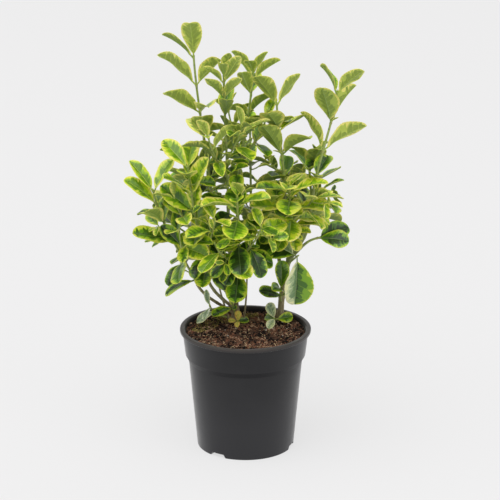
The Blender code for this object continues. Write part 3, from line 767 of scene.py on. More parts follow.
limbs = {
    "trunk": limb(None, (-12, 42), (-15, 40, 199), (5.4, 4.0)),
    "trunk_right": limb(None, (46, 48), (60, 40, 256), (4.4, 2.7), (0, 0, 1), (0.25, -0.1, 1)),
    "bough_far_left": limb("trunk", 10, (-64, 20, 216), (2.1, 1.8), (-1, -0.1, 0.75), (-0.3, -0.3, 1)),
    "bough_left": limb("trunk", 17, (-50, 2, 236), (2.2, 1.9), (-0.7, -0.8, 0.9), (-0.05, -0.2, 1)),
    "bough_front": limb("trunk", 21, (-9, 2, 232), (2.3, 1.9), (0.15, -1, 0.8), (0, -0.3, 1)),
    "bough_back_left": limb("trunk", 24, (-54, 84, 232), (2.3, 1.9), (-0.6, 0.8, 0.8), (-0.2, 0.2, 1)),
    "bough_back": limb("trunk", 28, (4, 88, 246), (2.4, 2.0), (0.5, 0.8, 0.8), (0.1, 0.2, 1)),
    "bough_left_top": limb("trunk", 32, (-42, 31, 318), (3.1, 2.4), (-0.6, 0.1, 1), (-0.1, 0, 1)),
    "bough_middle_left": limb("trunk", 37, (-22, 8, 322), (2.8, 2.1), (-0.1, -0.55, 1), (0, -0.1, 1)),
    "bough_middle": limb("trunk", 41, (-10, 56, 316), (3.0, 2.2), (0.3, 0.4, 1), (0.05, 0, 1)),
    "bough_middle_right": limb("trunk_right", 62, (50, 41, 338), (2.6, 2.1), (-0.6, 0.3, 1), (-0.1, 0, 1)),
    "bough_right_back": limb("trunk_right", 74, (84, 92, 276), (2.5, 2.0), (0.4, 0.9, 0.8), (0.1, 0.2, 1)),
    "bough_right_top": limb("trunk_right", 84, (88, 50, 332), (2.9, 2.4), (0.7, 0.3, 0.9), (0.15, 0, 1)),
    "bough_right_low": limb("trunk_right", 88, (80, 14, 272), (1.9, 1.7), (0.6, -0.7, 0.5), (0.6, -0.5, 0.6)),
    "bough_right": limb("trunk_right", 98, (60, 26, 276), (2.6, 2.1), (-0.1, -0.5, 1), (0, -0.2, 1)),
}

masses = {
    "foliage_left_top": (
        "bough_left_top",
        shoot((-65, 14, 519), 6, 69, (80, 5, 102, (-40, 211), (168, -21), (-78, 135)), bare=0.1,
              spread=(56, 50, (78, 32), 41, (35, 36), (7, 45)), broad=0.98, tipShare=0.8, crowd=0.95,
              facing=0.3),
        shoot((-66, 62, 366), 3, 42, 40, root=0.06),
        shoot((-30, 8, 394), 3, 44, 60, root=0.16),
    ),
    "foliage_middle_left": (
        "bough_middle_left",
        shoot((-27, -12, 500), 7, 43, (0, 85, 5, (81, 260), (-30, 211), (9, 144), 85), bare=0.05,
              spread=(62, 58, 54, (36, 12), 36, (27, 39), 15), tipShare=0.8, crowd=1.6),
        shoot((-46, -30, 424), 4, 44, 20, root=0.22),
        shoot((-4, -28, 438), 4, 44, 30, root=0.36),
    ),
    "foliage_middle": (
        "bough_middle",
        shoot((10, 63, 486), 7, 48, (0, 90, (-51, 217), (-27, 220), (87, 235), (15, 148), (9, 263)),
              bare=0.05, spread=(58, 58, (36, 51), (30, 63), (45, 42), (42, 39), (24, 36)), tipShare=0.7,
              crowd=1.5),
        shoot((26, 42, 428), 4, 46, 10, root=0.3),
        shoot((-22, 76, 430), 3, 44, 60, root=0.35),
    ),
    "foliage_middle_right": (
        "bough_middle_right",
        shoot((40, 37, 450), 4, 60, (80, (-30, 222), (81, 249), (40, 201)), bare=0.1,
              spread=(60, (45, 39), (75, 28), (42, 24)), tipShare=0.9, crowd=0.95, facing=0.2),
    ),
    "foliage_right_top": (
        "bough_right_top",
        shoot((117, 50, 462), 4, 64, (80, (30, 155), (69, 226), (-12, 112)), bare=0.12,
              spread=(60, 37, (28, 33), (25, 44)), tipShare=0.76, crowd=0.95, facing=0.2),
    ),
    "foliage_far_left": (
        "bough_far_left",
        shoot((-117, -14, 350), 6, 60, (5, 80, 28, (90, 251), (84, 198), (40, 142)), bare=0.02,
              spread=(80, 66, 38, (72, 30), (100, 24), (48, 29)), broad=0.88, tipShare=0.9, facing=-0.6),
        shoot((-84, -26, 300), 3, 48, 60, root=0.2, spread=62, broad=1.1),
    ),
    "foliage_right_foot": (
        fromTrunk("trunk_right", 26, (-0.2, -1, 0.5)),
        shoot((46, 28, 202), 2, 50, (12, 75), bare=0.55, spread=(40, 20), tipShare=0.78),
    ),
    "foliage_right_droop": (
        fromTrunk("trunk_right", 82, (0.1, -1, 0.15)),
        shoot((68, 10, 255), 1, 64, ((140, 283),), bare=0.9, spread=((96, 104),), rise=0, broad=1.3,
              tipShare=0.92, facing=-1.4),
    ),
    "foliage_right_low": (
        "bough_right_low",
        shoot((94, 5, 281), 1, 44, ((42, 350),), bare=0.9, spread=((42, 22),), rise=-0.1, broad=1.15,
              tipShare=1.0, facing=-0.3),
    ),
    "foliage_left": (
        "bough_left",
        shoot((-72, -30, 386), 7, 56, (80, 0, 85, 5, (-21, 223), 90, (51, 139)), bare=0.04,
              spread=(84, 78, 66, 38, (20, 30), 46, 48), tipShare=0.92, facing=-1.0),
        shoot((-90, -24, 344), 3, 46, 20, root=0.28, spread=60),
        shoot((-38, -48, 322), 4, 46, 40, root=0.15, spread=72, broad=1.15),
    ),
    "foliage_front": (
        "bough_front",
        shoot((-10, -42, 350), 7, 52, (85, 0, 90, 5, 90, 10, 85), bare=0.04, spread=76, broad=1.15),
        shoot((20, -42, 310), 4, 44, 30, root=0.2, spread=76, broad=1.15),
        shoot((-38, -52, 292), 4, 44, 60, root=0.12, spread=76, broad=1.15),
    ),
    "foliage_back_left": (
        "bough_back_left",
        shoot((-78, 102, 330), 5, 54, 20, bare=0.04, spread=60, broad=1.1),
        shoot((-108, 76, 296), 3, 50, 10, root=0.15, spread=66, broad=1.1),
        shoot((-40, 118, 322), 3, 50, 70, root=0.25, spread=62, broad=1.1),
    ),
    "foliage_back": (
        "bough_back",
        shoot((6, 112, 392), 6, 54, 4, bare=0.04, spread=57),
        shoot((42, 126, 334), 3, 50, 40, root=0.15, spread=66, broad=1.1),
        shoot((-22, 134, 330), 3, 50, 20, root=0.12, spread=66, broad=1.1),
    ),
    "foliage_right": (
        "bough_right",
        shoot((56, 4, 350), 7, 54, (85, 0, 85, 5, 90, 10, 85), bare=0.03, spread=74, broad=1.15),
        shoot((92, 6, 344), 4, 46, 30, root=0.3, spread=60, broad=1.1),
        shoot((32, 14, 326), 4, 46, 60, root=0.12, spread=72, broad=1.15),
    ),
    "foliage_right_back": (
        "bough_right_back",
        shoot((84, 112, 352), 5, 54, 30, bare=0.04, spread=56, broad=1.1),
        shoot((58, 120, 322), 3, 50, 60, root=0.15, spread=66, broad=1.1),
        shoot((98, 90, 318), 3, 48, 30, root=0.2, spread=58, broad=1.1),
    ),
    "foliage_front_low": (
        fromTrunk("trunk", 6, (-0.1, -1, 0.7)),
        shoot((-19, 14, 202), 2, 42, (30, -6), bare=0.5, spread=(60, 34), tipShare=0.95),
    ),
    "foliage_low_left": (
        fromTrunk("trunk", 3, (-1, -0.5, 0.45)),
        shoot((-46, 14, 184), 3, 32, (60, 10, 80), bare=0.4, spread=84, tipShare=0.85),
    ),
    "foliage_foot": (
        fromTrunk("trunk", 3, (0.1, -1, 0.1)),
        shoot((-11, 26, 159), 2, 19, (10, 80), bare=0.7, spread=70, rise=0.3, broad=1.15, tipShare=0.9),
    ),
    "foliage_foot_right": (
        fromTrunk("trunk_right", 3, (-0.3, -1, 0.1)),
        shoot((38, 30, 161), 2, 29, (0, 85), bare=0.7, spread=70, rise=0.3, broad=1.2, tipShare=0.8),
    ),
}


def curve(start, startWay, end, endWay, steps):
    reach = (end - start).length / 3
    first = start + startWay * reach
    second = end - endWay * reach
    points = []
    for step in range(steps + 1):
        t = step / steps
        s = 1 - t
        points.append(start * s**3 + first * (3 * s * s * t) + second * (3 * s * t * t) + end * t**3)
    return points


def frames(points):
    side = up.orthogonal()
    result = []
    for index, point in enumerate(points):
        before = points[max(index - 1, 0)]
        after = points[min(index + 1, len(points) - 1)]
        way = (after - before).normalized()
        side = (side - way * side.dot(way)).normalized()
        result.append((point, way, side))
    return result


def along(points, share):
    lengths = [(after - before).length for before, after in zip(points, points[1:])]
    left = share * sum(lengths)
    for index, length in enumerate(lengths):
        if left <= length or index == len(lengths) - 1:
            way = (points[index + 1] - points[index]).normalized()
            return points[index] + way * min(left, length), way
        left -= length


def tube(points, radii, sides):
    verts = []
    for (point, way, side), radius in zip(frames(points), radii):
        other = way.cross(side)
        for corner in range(sides):
            angle = math.tau * corner / sides
            verts.append(point + (side * math.cos(angle) + other * math.sin(angle)) * radius)
    faces = [list(range(sides))[::-1], list(range(len(verts) - sides, len(verts)))]
    for ring in range(len(points) - 1):
        for corner in range(sides):
            low = ring * sides + corner
            nextLow = ring * sides + (corner + 1) % sides
            faces.append([low, nextLow, nextLow + sides, low + sides])
    return verts, faces


def byHeight(values, height):
    # a value at a height, between the one for the foot of the crown and the one for its top
    low, high = values
    bottom, top = growth["crownSpan"]
    return low + (high - low) * min(max((height - bottom) / (top - bottom), 0.0), 1.0)


def plainLeaf(root, way, face, length, broad, start=0.0, clearance=0.0):
    # the leaf of the solids, used to find the room that each leaf has
    arch = math.radians(growth["leafArch"])
    fold = math.radians(byHeight(growth["leafFold"], root.z))
    halfWidth = length * growth["leafWidth"] * broad / 2
    halfThickness = length * growth["leafThickness"] / 2 + clearance
    across = way.cross(face)
    sections = [(start, growth["leafRootWidth"] / growth["leafWidth"] + start)] + list(growth["leafSections"])
    verts = []
    for share, width in sections:
        angle = arch * share
        middle = root + (way * math.sin(angle) - face * (1 - math.cos(angle))) * (length / arch)
        normal = way * math.sin(angle) + face * math.cos(angle)
        half = halfWidth * width + clearance
        lift = normal * (half * math.sin(fold))
        edge = across * (half * math.cos(fold))
        verts += [middle - edge + lift, middle + normal * halfThickness]
        verts += [middle + edge + lift, middle - normal * halfThickness]
    verts.append(root + (way * math.sin(arch) - face * (1 - math.cos(arch))) * ((length + clearance) / arch))
    faces = [[0, 1, 2, 3]]
    for ring in range(len(sections) - 1):
        for corner in range(4):
            low = ring * 4 + corner
            nextLow = ring * 4 + (corner + 1) % 4
            faces.append([low, low + 4, nextLow + 4, nextLow])
    last = (len(sections) - 1) * 4
    for corner in range(4):
        faces.append([last + corner, len(verts) - 1, last + (corner + 1) % 4])
    return verts, faces


def limbStart(name):
    data = limbs[name]
    if data["parent"] is None:
        return Vector((data["at"][0] * mm, data["at"][1] * mm, growth["soilTop"] + gap))
    return pointAtHeight(limbPath(data["parent"]), growth["soilTop"] + data["at"] * mm)


def limbPath(name, steps=None):
    data = limbs[name]
    return curve(limbStart(name), data["footWay"], data["tip"], data["tipWay"], steps or growth["limbSteps"])


def pointAtHeight(points, height):
    for before, after in zip(points, points[1:]):
        if before.z <= height <= after.z:
            return before.lerp(after, (height - before.z) / (after.z - before.z))
    return points[-1]


def limbRadii(name, points, extra=0.0):
    foot, tip = limbs[name]["radii"]
    radii = []
    for index, point in enumerate(points):
        radius = foot + (tip - foot) * index / (len(points) - 1)
        if limbs[name]["parent"] is None:
            height = point.z - growth["soilTop"]
            radius *= 1 + growth["flare"] * math.exp(-((3 * height / growth["flareHeight"]) ** 2) / 2)
        radii.append(radius + extra)
    return radii


def shootPaths(mass):
    # each shoot's path in a mass, as start, directions and end, with its radii
    carrier, *shoots = masses[mass]
    if isinstance(carrier, dict):
        stemStart = pointAtHeight(limbPath(carrier["trunk"]), growth["soilTop"] + carrier["height"])
        stemWay = carrier["way"]
        stemRadii = growth["shootRadii"]
    else:
        carrierPoints = limbPath(carrier)
        stemWay = (carrierPoints[-1] - carrierPoints[-2]).normalized()
        stemStart = carrierPoints[-1] + stemWay * gap
        stemRadii = growth["leaderRadii"]
    paths = []
    for data in shoots:
        if data["root"] is None:
            start = stemStart
            startWay = stemWay
            radii = stemRadii
        else:
            start, parentWay = along(paths[0][0], data["root"])
            outward = (data["tip"] - start).normalized()
            startWay = outward * growth["sideOut"] + parentWay * growth["sideAlong"] - up * growth["sideDown"]
            startWay.normalize()
            radii = growth["shootRadii"]
        outward = (data["tip"] - start).normalized()
        endWay = (outward * (1 - data["rise"]) + up * data["rise"]).normalized()
        steps = max(3, round((data["tip"] - start).length / growth["twigSpacing"]))
        spine = (start, startWay, data["tip"], endWay)
        paths.append((curve(*spine, steps), radii, spine))
    return paths


def twigRadii(points, radii, extra=0.0):
    last = len(points) - 1
    return [radii[0] + (radii[1] - radii[0]) * index / last + extra for index in range(len(points))]


def keptShoots(limbSolids):
    kept = {}
    placed = []
    for mass in masses:
        kept[mass] = []
        for number, (data, (points, radii, spine)) in enumerate(zip(masses[mass][1:], shootPaths(mass))):
            solid = BVHTree.FromPolygons(*tube(points, twigRadii(points, radii, gap), growth["twigSides"]))
            others = limbSolids + [other for owner, other in placed if owner != mass]
            if number and any(solid.overlap(other) for other in others):
                continue
            placed.append((mass, solid))
            kept[mass].append((data, points, radii, solid, spine))
    return kept


def pairTurns(data):
    if isinstance(data["turn"], tuple):
        return data["turn"]
    return [data["turn"] + 90 * index for index in range(data["pairs"])]


def pairSpread(data, index, share):
    if isinstance(data["spread"], tuple):
        return data["spread"][index]
    low, high = growth["spreadShares"]
    return data["spread"] * (low + (high - low) * share)


def leafOfPair(value, half, step):
    # one leaf's value in a pair: its own of two, or the pair's value, with a step added for the second
    return value[half] if isinstance(value, tuple) else value + half * step


def leafPlaces(data, points, rng):
    places = []
    for index, turn in enumerate(pairTurns(data)):
        share = index / max(data["pairs"] - 1, 1)
        place = data["bare"] + (1 - data["bare"]) * (1 - (1 - share) ** data["crowd"])
        root, way = along(points, min(place, growth["lastPair"]))
        first = growth["firstLeafShare"]
        size = first + (1 - first) * math.sin(math.pi * share)
        if index == data["pairs"] - 1:
            size = data["tipShare"]
        spread = pairSpread(data, index, share)
        jitter = growth["lengthJitter"]
        turnJitter = growth["turnJitter"]
        spreadJitter = growth["spreadJitter"]
        for half in (0, 1):
            places.append(
                {
                    "root": root,
                    "way": way,
                    "share": share,
                    "facing": data["facing"],
                    "turn": leafOfPair(turn, half, 180) + rng.uniform(-turnJitter, turnJitter),
                    "spread": leafOfPair(spread, half, 0) + rng.uniform(-spreadJitter, spreadJitter),
                    "roll": rng.uniform(-growth["rollJitter"], growth["rollJitter"]),
                    "length": data["leaf"] * size * (1 + rng.uniform(-jitter, jitter)),
                    "broad": data["broad"] * (1 + rng.uniform(-jitter, jitter)),
                }
            )
    return places


def leafStance(place, moreTurn, moreSpread):
    way = place["way"]
    right = (Vector((1, 0, 0)) - way * way.x).normalized()
    behind = way.cross(right)
    angle = math.radians(place["turn"] + moreTurn)
    outward = right * math.cos(angle) + behind * math.sin(angle)
    spread = math.radians(place["spread"] + moreSpread)
    leafWay = way * math.cos(spread) + outward * math.sin(spread)
    root = place["root"]
    light = Vector((root.x - growth["crownAxis"][0], root.y - growth["crownAxis"][1], 0))
    reach = min(light.length / growth["crownCore"], 1) * byHeight(growth["outwardLight"], root.z)
    backward = byHeight(growth["backwardLight"], root.z) + place["facing"]
    face = way + up * growth["upwardLight"] + light.normalized() * reach + back * backward
    face = (face - leafWay * face.dot(leafWay)).normalized()
    face = Matrix.Rotation(math.radians(place["roll"]), 3, leafWay) @ face
    return leafWay, face


def overGround(verts):
    for vert in verts:
        beyond = math.hypot(vert.x, vert.y) > growth["rimInner"] - growth["rimClearance"]
        lowest = growth["potHeight"] if beyond else growth["soilTop"]
        if vert.z < lowest + growth["clearance"] * 2:
            return False
    return True


def grownMasses(limbSolids):
    # for each mass its shoots, and each leaf that finds room
    kept = keptShoots(limbSolids)
    leafSolids = {mass: [] for mass in masses}
    grown = {}
    for number, mass in enumerate(masses):
        rng = random.Random(growth["seed"] + number)
        others = list(limbSolids)
        for other in masses:
            if other != mass:
                others += [row[3] for row in kept[other]] + leafSolids[other]
        leaves = []
        leafBlades = []
        for own, (data, points, _, _, _) in enumerate(kept[mass]):
            ownTwigs = [row[3] for index, row in enumerate(kept[mass]) if index != own]
            for place in leafPlaces(data, points, rng):
                best = None
                for moreTurn, moreSpread, share in leafTries:
                    leafWay, face = leafStance(place, moreTurn, moreSpread)
                    form = (place["root"], leafWay, face, place["length"] * share, place["broad"])
                    verts, leafFaces = plainLeaf(*form, clearance=growth["clearance"])
                    whole = BVHTree.FromPolygons(verts, leafFaces)
                    if not overGround(verts[4:]) or any(whole.overlap(other) for other in others):
                        continue
                    blade = BVHTree.FromPolygons(
                        *plainLeaf(*form, start=growth["bladeStart"], clearance=growth["clearance"])
                    )
                    if not any(blade.overlap(other) for other in ownTwigs + leafBlades):
                        best = (form, whole, blade)
                        break
                    best = best or (form, whole, blade)
                if best:
                    leaves.append((best[0], place["share"]))
                    leafSolids[mass].append(best[1])
                    leafBlades.append(best[2])
        grown[mass] = (kept[mass], leaves)
    return grown, [solid for solids in leafSolids.values() for solid in solids]


# trunks and boughs: round limbs with bark relief, green where they are young
barkLook = {
    "spacing": 1.6 * mm,
    "sides": 18,
    "relief": 0.055,
    "nodeEvery": 21.0 * mm,
    "nodeSwell": 0.16,
    "collar": 0.45,
    "collarReach": 3.5 * mm,
    "old": srgb(182, 168, 136),
    "oldDark": srgb(122, 108, 84),
    "young": srgb(156, 168, 104),
    "youngDark": srgb(122, 132, 78),
}


def barkMaterial():
    look = barkLook
    material, tree, shader = principled("bark", look["old"], 0.8, Specular_IOR_Level=0.3)
    coords = tree.nodes.new("ShaderNodeTexCoord")
    stretch = tree.nodes.new("ShaderNodeMapping")
    stretch.inputs["Scale"].default_value = (1, 1, 0.22)
    tree.links.new(coords.outputs["Object"], stretch.inputs["Vector"])
    streaks = tree.nodes.new("ShaderNodeTexNoise")
    streaks.inputs["Scale"].default_value = 620
    streaks.inputs["Detail"].default_value = 6
    streaks.inputs["Roughness"].default_value = 0.65
    tree.links.new(stretch.outputs["Vector"], streaks.inputs["Vector"])
    oldRamp = tree.nodes.new("ShaderNodeValToRGB")
    oldRamp.color_ramp.elements[0].position = 0.35
    oldRamp.color_ramp.elements[0].color = look["oldDark"]
    oldRamp.color_ramp.elements[1].position = 0.65
    oldRamp.color_ramp.elements[1].color = look["old"]
    youngRamp = tree.nodes.new("ShaderNodeValToRGB")
    youngRamp.color_ramp.elements[0].position = 0.3
    youngRamp.color_ramp.elements[0].color = look["youngDark"]
    youngRamp.color_ramp.elements[1].position = 0.7
    youngRamp.color_ramp.elements[1].color = look["young"]
    tree.links.new(streaks.outputs["Fac"], oldRamp.inputs["Fac"])
    tree.links.new(streaks.outputs["Fac"], youngRamp.inputs["Fac"])
    place = tree.nodes.new("ShaderNodeSeparateXYZ")
    tree.links.new(coords.outputs["Object"], place.inputs["Vector"])
    ripeness = tree.nodes.new("ShaderNodeMapRange")
    ripeness.inputs["From Min"].default_value = 0.165
    ripeness.inputs["From Max"].default_value = 0.25
    tree.links.new(place.outputs["Z"], ripeness.inputs["Value"])
    blend = tree.nodes.new("ShaderNodeMix")
    blend.data_type = "RGBA"
    tree.links.new(ripeness.outputs["Result"], blend.inputs["Factor"])
    tree.links.new(oldRamp.outputs["Color"], blend.inputs["A"])
    tree.links.new(youngRamp.outputs["Color"], blend.inputs["B"])
    tree.links.new(blend.outputs["Result"], shader.inputs["Base Color"])
    bump = tree.nodes.new("ShaderNodeBump")
    bump.inputs["Strength"].default_value = 0.5
    bump.inputs["Distance"].default_value = 0.0004
    tree.links.new(streaks.outputs["Fac"], bump.inputs["Height"])
    tree.links.new(bump.outputs["Normal"], shader.inputs["Normal"])
    return material


def reliefTube(points, radii, sides, relief):
    # a round tube whose surface has shallow lengthwise furrows
    verts, faces = tube(points, radii, sides)
    centres = [point for point in points for _ in range(sides)]
    shaped = []
    for index, (vert, centre) in enumerate(zip(verts, centres)):
        spoke = vert - centre
        furrow = noise.noise(Vector((vert.x * 420, vert.y * 420, vert.z * 90)))
        fleck = noise.noise(Vector((vert.x * 900, vert.y * 900, vert.z * 500)))
        shaped.append(centre + spoke * (1 + relief * (furrow * 1.3 + fleck * 0.6)))
    return shaped, faces


def makeLimb(name, material):
    look = barkLook
    data = limbs[name]
    length = (data["tip"] - limbStart(name)).length
    steps = max(20, round(length / look["spacing"]))
    points = limbPath(name, steps)
    foot, tip = data["radii"]
    radii = []
    travelled = 0
    for index, point in enumerate(points):
        if index:
            travelled += (point - points[index - 1]).length
        radius = foot + (tip - foot) * index / steps
        if data["parent"] is None:
            height = point.z - growth["soilTop"]
            radius *= 1 + growth["flare"] * math.exp(-((3 * height / growth["flareHeight"]) ** 2) / 2)
        else:
            radius *= 1 + look["collar"] * math.exp(-((travelled / look["collarReach"]) ** 2) / 4)
        phase = (travelled % look["nodeEvery"]) / look["nodeEvery"] - 0.5
        radius *= 1 + look["nodeSwell"] * math.exp(-((phase * look["nodeEvery"] / (1.6 * mm)) ** 2))
        radii.append(radius)
    if data["parent"] is None:
        points[0] = points[0] - up * 3 * mm
    relief = look["relief"] * (1.4 if data["parent"] is None else 0.8)
    verts, faces = reliefTube(points, radii, look["sides"], relief)
    piece = newPiece(name + "_bark", verts, faces, [material], sharp=60)
    dress(piece, "bark", name)


# thin stems that rise from the soil beside the trunk into the crown; millimetres
baseStems = {
    "feet": ((-20, 36), (-4, 36)),
    "tips": ((-37, 16, 238), (2, 24, 244)),
    "ways": ((-0.2, -0.3, 1), (0.2, -0.1, 1)),
    "radii": (1.5, 0.9),
    "steps": 60,
}


def makeBaseStems(material):
    look = baseStems
    verts = []
    faces = []
    for foot, tip, way in zip(look["feet"], look["tips"], look["ways"]):
        start = Vector((*foot, soilHeight(*foot) - 3)) * mm
        points = curve(start, Vector(way).normalized(), Vector(tip) * mm, up, look["steps"])
        radii = [radius * mm for radius in np.linspace(*look["radii"], len(points))]
        stem, stemFaces = reliefTube(points, radii, 10, barkLook["relief"])
        faces += [[len(verts) + corner for corner in face] for face in stemFaces]
        verts += stem
    piece = newPiece("base_stems", verts, faces, [material], sharp=60)
    dress(piece, "bark")


def makeLimbs():
    bark = barkMaterial()
    for name in limbs:
        makeLimb(name, bark)
    makeBaseStems(bark)


# twigs: green shoots with a ring at each pair of leaves and a pointed bud at the tip
twigLook = {
    "spacing": 2.2 * mm,
    "sides": 9,
    "ringReach": 1.5 * mm,
    "ringSwell": 0.35,
    "thin": 0.70,
    "intoLimb": 2.5 * mm,
    "budSize": 1.35 * mm,
    "fillRadii": (0.95 * mm, 0.8 * mm),
    "green": srgb(156, 172, 92),
    "shade": srgb(134, 150, 80),
    "ring": srgb(160, 160, 94),
    "bud": srgb(168, 182, 84),
}


def twigMaterials():
    look = twigLook
    return [
        principled("twigGreen", look["green"], 0.5)[0],
        principled("twigShade", look["shade"], 0.55)[0],
        principled("twigRing", look["ring"], 0.6)[0],
        principled("bud", look["bud"], 0.42)[0],
    ]


def twigMesh(data, radii, spine, stemToLimb):
    # one shoot: its fine tube, with zone numbers for its faces
    look = twigLook
    start, startWay, end, endWay = spine
    length = (end - start).length
    steps = max(8, round(length / look["spacing"]))
    points = curve(start, startWay, end, endWay, steps)
    if stemToLimb:
        points.insert(0, points[0] - startWay * look["intoLimb"])
    travelled = [0.0]
    for before, after in zip(points, points[1:]):
        travelled.append(travelled[-1] + (after - before).length)
    total = travelled[-1]
    rings = []
    for index in range(data["pairs"]):
        share = index / max(data["pairs"] - 1, 1)
        rings.append(total * (data["bare"] + (1 - data["bare"]) * (1 - (1 - share) ** data["crowd"])))
    fine = []
    bands = []
    for distance in travelled:
        taper = radii[0] + (radii[1] - radii[0]) * distance / total
        nearest = min(abs(distance - ring) for ring in rings)
        swell = math.exp(-((nearest / look["ringReach"]) ** 2))
        fine.append(taper * look["thin"] * (1 + look["ringSwell"] * swell))
        bands.append(2 if nearest < look["ringReach"] * 0.7 else 0)
    verts, faces = tube(points, fine, look["sides"])
    zones = [1, 1]
    for index in range(len(points) - 1):
        zones += [bands[index] or (1 if index % 7 == 3 else 0)] * look["sides"]
    return verts, faces, zones


def budMesh(tip, way, size):
    # a pointed bud: a spindle of four scales
    side = way.orthogonal().normalized()
    points = []
    radii = []
    for step in range(8):
        share = step / 7
        points.append(tip + way * size * (share * 3.2 - 0.4))
        radii.append(size * (0.12 + 0.75 * math.sin(math.pi * min(1, share * 0.82 + 0.18)) ** 1.2 * (1 - share * 0.35)))
    radii[-1] = size * 0.06
    verts, faces = tube(points, radii, 8)
    for index, vert in enumerate(verts):
        centre = points[index // 8]
        verts[index] = centre + (vert - centre) * (1.12 if index % 2 else 0.92)
    return verts, faces


def makeTwigs(name, rows, materials, fill):
    look = twigLook
    verts = []
    faces = []
    zones = []
    parts = []
    for number, (data, points, radii, _, spine) in enumerate(rows):
        parts.append(twigMesh(data, radii, spine, number == 0))
        bud, budFaces = budMesh(spine[2], spine[3], look["budSize"])
        parts.append((bud, budFaces, [3] * len(budFaces)))
    for points in fill:
        fine, fineFaces = tube(points, np.linspace(*look["fillRadii"], len(points)), look["sides"])
        parts.append((fine, fineFaces, [0] * len(fineFaces)))
    for part, partFaces, partZones in parts:
        start = len(verts)
        verts += part
        faces += [[start + corner for corner in face] for face in partFaces]
        zones += partZones
    twigs = newPiece(name + "_twigs", verts, faces, materials, zones, 60)
    dress(twigs, "foliage")


# leaves: closed blades whose rows follow the veins and whose lines are moved, so that each colour keeps its outline
leafLook = {
    "seed": 900,
    "fillSeed": 70,
    "petiole": 0.11,
    "petioleRows": 3,
    "veins": 6,
    "veinSpan": (0.10, 0.80),
    "veinWidth": 0.009,
    "veinSlant": 0.17,
    "veinDepth": 0.22 * mm,
    "tipRows": 7,
    "narrow": 0.92,
    "outlineBase": (0.78, 0.80),
    "outlineTip": (0.46, 0.56),
    "fold": (17, 28),
    "foldSpread": 12,
    "thickness": 0.55 * mm,
    "petioleRadius": 0.85 * mm,
    "teeth": 0.016,
    "midribDepth": 0.35 * mm,
    "midribWidth": (0.75 * mm, 0.22 * mm),
    "ripple": 0.08,
    "edgeRoll": 0.22,
    "curl": (-24, 14),
    "sweep": 0.05,
    "twist": 9,
    "marginWidth": 0.005,
    "marginYellow": 0.085,
    "underEdge": 0.9,
    "core": 0.80,
    "coreYellow": 0.85,
    "coreSpread": 0.28,
    "brokenShare": 0.2,
    "burst": 0.55,
    "axilShare": 0.4,
    "axilLength": (9 * mm, 17 * mm),
    "fillSpan": (215 * mm, 375 * mm),
    "fillShare": 0.75,
    "fillStem": (9 * mm, 24 * mm),
    "fillLength": (17 * mm, 31 * mm),
    "mixed": {"foliage_right": 0.6, "foliage_right_low": 0.5, "foliage_front": 0.45},
    "lighter": {"foliage_right": 0.95, "foliage_left": 0.45, "foliage_far_left": 0.35, "foliage_right_low": 0.45,
                "foliage_foot_right": 1.0, "foliage_foot": 0.6, "foliage_front": 0.15, "foliage_right_droop": 0.25},
    # the mass whose leaves carry painted reflection: one half of each leaf takes the pale tint for the sky's sheen on
    # it
    "paintedSheenSide": "foliage_right_droop",
    # chance of the pale grey-green tint for low leaves: partly pale variegation, partly painted reflection of the sky's
    # sheen on glossy leaves
    "paleAndSheenShare": {"foliage_low_left": 0.9, "foliage_foot_right": 0.6, "foliage_front_low": 0.5, "foliage_far_left": 0.12},
    "oldShare": {"foliage_foot": 0.75},
    "paleAndSheenTop": 330 * mm,
    "spotShare": 0.09,
}
leafTints = {
    "young": {
        "vein": srgb(172, 192, 84),
        "core": srgb(104, 144, 26),
        "mid": srgb(146, 184, 32),
        "lime": srgb(196, 214, 48),
        "margin": srgb(238, 232, 112),
        "under": srgb(144, 162, 76),
        "underMid": srgb(184, 198, 94),
        "underRim": srgb(234, 226, 132),
    },
    "ripe": {
        "vein": srgb(130, 158, 66),
        "core": srgb(66, 106, 18),
        "mid": srgb(104, 150, 26),
        "lime": srgb(160, 194, 34),
        "margin": srgb(210, 216, 78),
        "under": srgb(132, 152, 72),
        "underMid": srgb(170, 186, 88),
        "underRim": srgb(220, 212, 118),
    },
    "deep": {
        "vein": srgb(94, 122, 58),
        "core": srgb(36, 64, 14),
        "mid": srgb(66, 108, 22),
        "lime": srgb(122, 164, 30),
        "margin": srgb(184, 200, 60),
        "under": srgb(118, 136, 74),
        "underMid": srgb(140, 158, 80),
        "underRim": srgb(198, 196, 102),
    },
    # pale grey-green tint: partly the pale variegation of some low leaves, partly painted reflection of the sky's sheen
    # on glossy low leaves
    "paleAndSheen": {
        "vein": srgb(190, 202, 160),
        "core": srgb(116, 142, 100),
        "mid": srgb(156, 176, 130),
        "lime": srgb(198, 208, 160),
        "margin": srgb(228, 228, 176),
        "under": srgb(118, 136, 84),
        "underMid": srgb(140, 158, 96),
        "underRim": srgb(198, 196, 122),
    },
    "old": {
        "vein": srgb(206, 196, 96),
        "core": srgb(226, 224, 98),
        "mid": srgb(242, 230, 112),
        "lime": srgb(242, 216, 108),
        "margin": srgb(238, 192, 102),
        "under": srgb(160, 156, 84),
        "underMid": srgb(178, 166, 88),
        "underRim": srgb(200, 170, 88),
    },
}
leafZones = ("vein", "core", "mid", "lime", "margin", "under", "underMid", "underRim")


def leafMaterials():
    materials = []
    for tint, colors in leafTints.items():
        for zone in leafZones:
            upper = zone in leafZones[:5]
            material, _, _ = principled(
                "leaf" + tint.title() + zone[0].upper() + zone[1:], colors[zone], 0.30 if upper else 0.62,
                Subsurface_Weight=0.3, Subsurface_Scale=0.0012, Specular_IOR_Level=0.52 if upper else 0.14,
            )
            material.node_tree.nodes["Principled BSDF"].inputs["Subsurface Radius"].default_value = (0.9, 1.0, 0.3)
            materials.append(material)
    materials.append(principled("leafSpot", srgb(150, 92, 52), 0.6, Specular_IOR_Level=0.2)[0])
    return materials


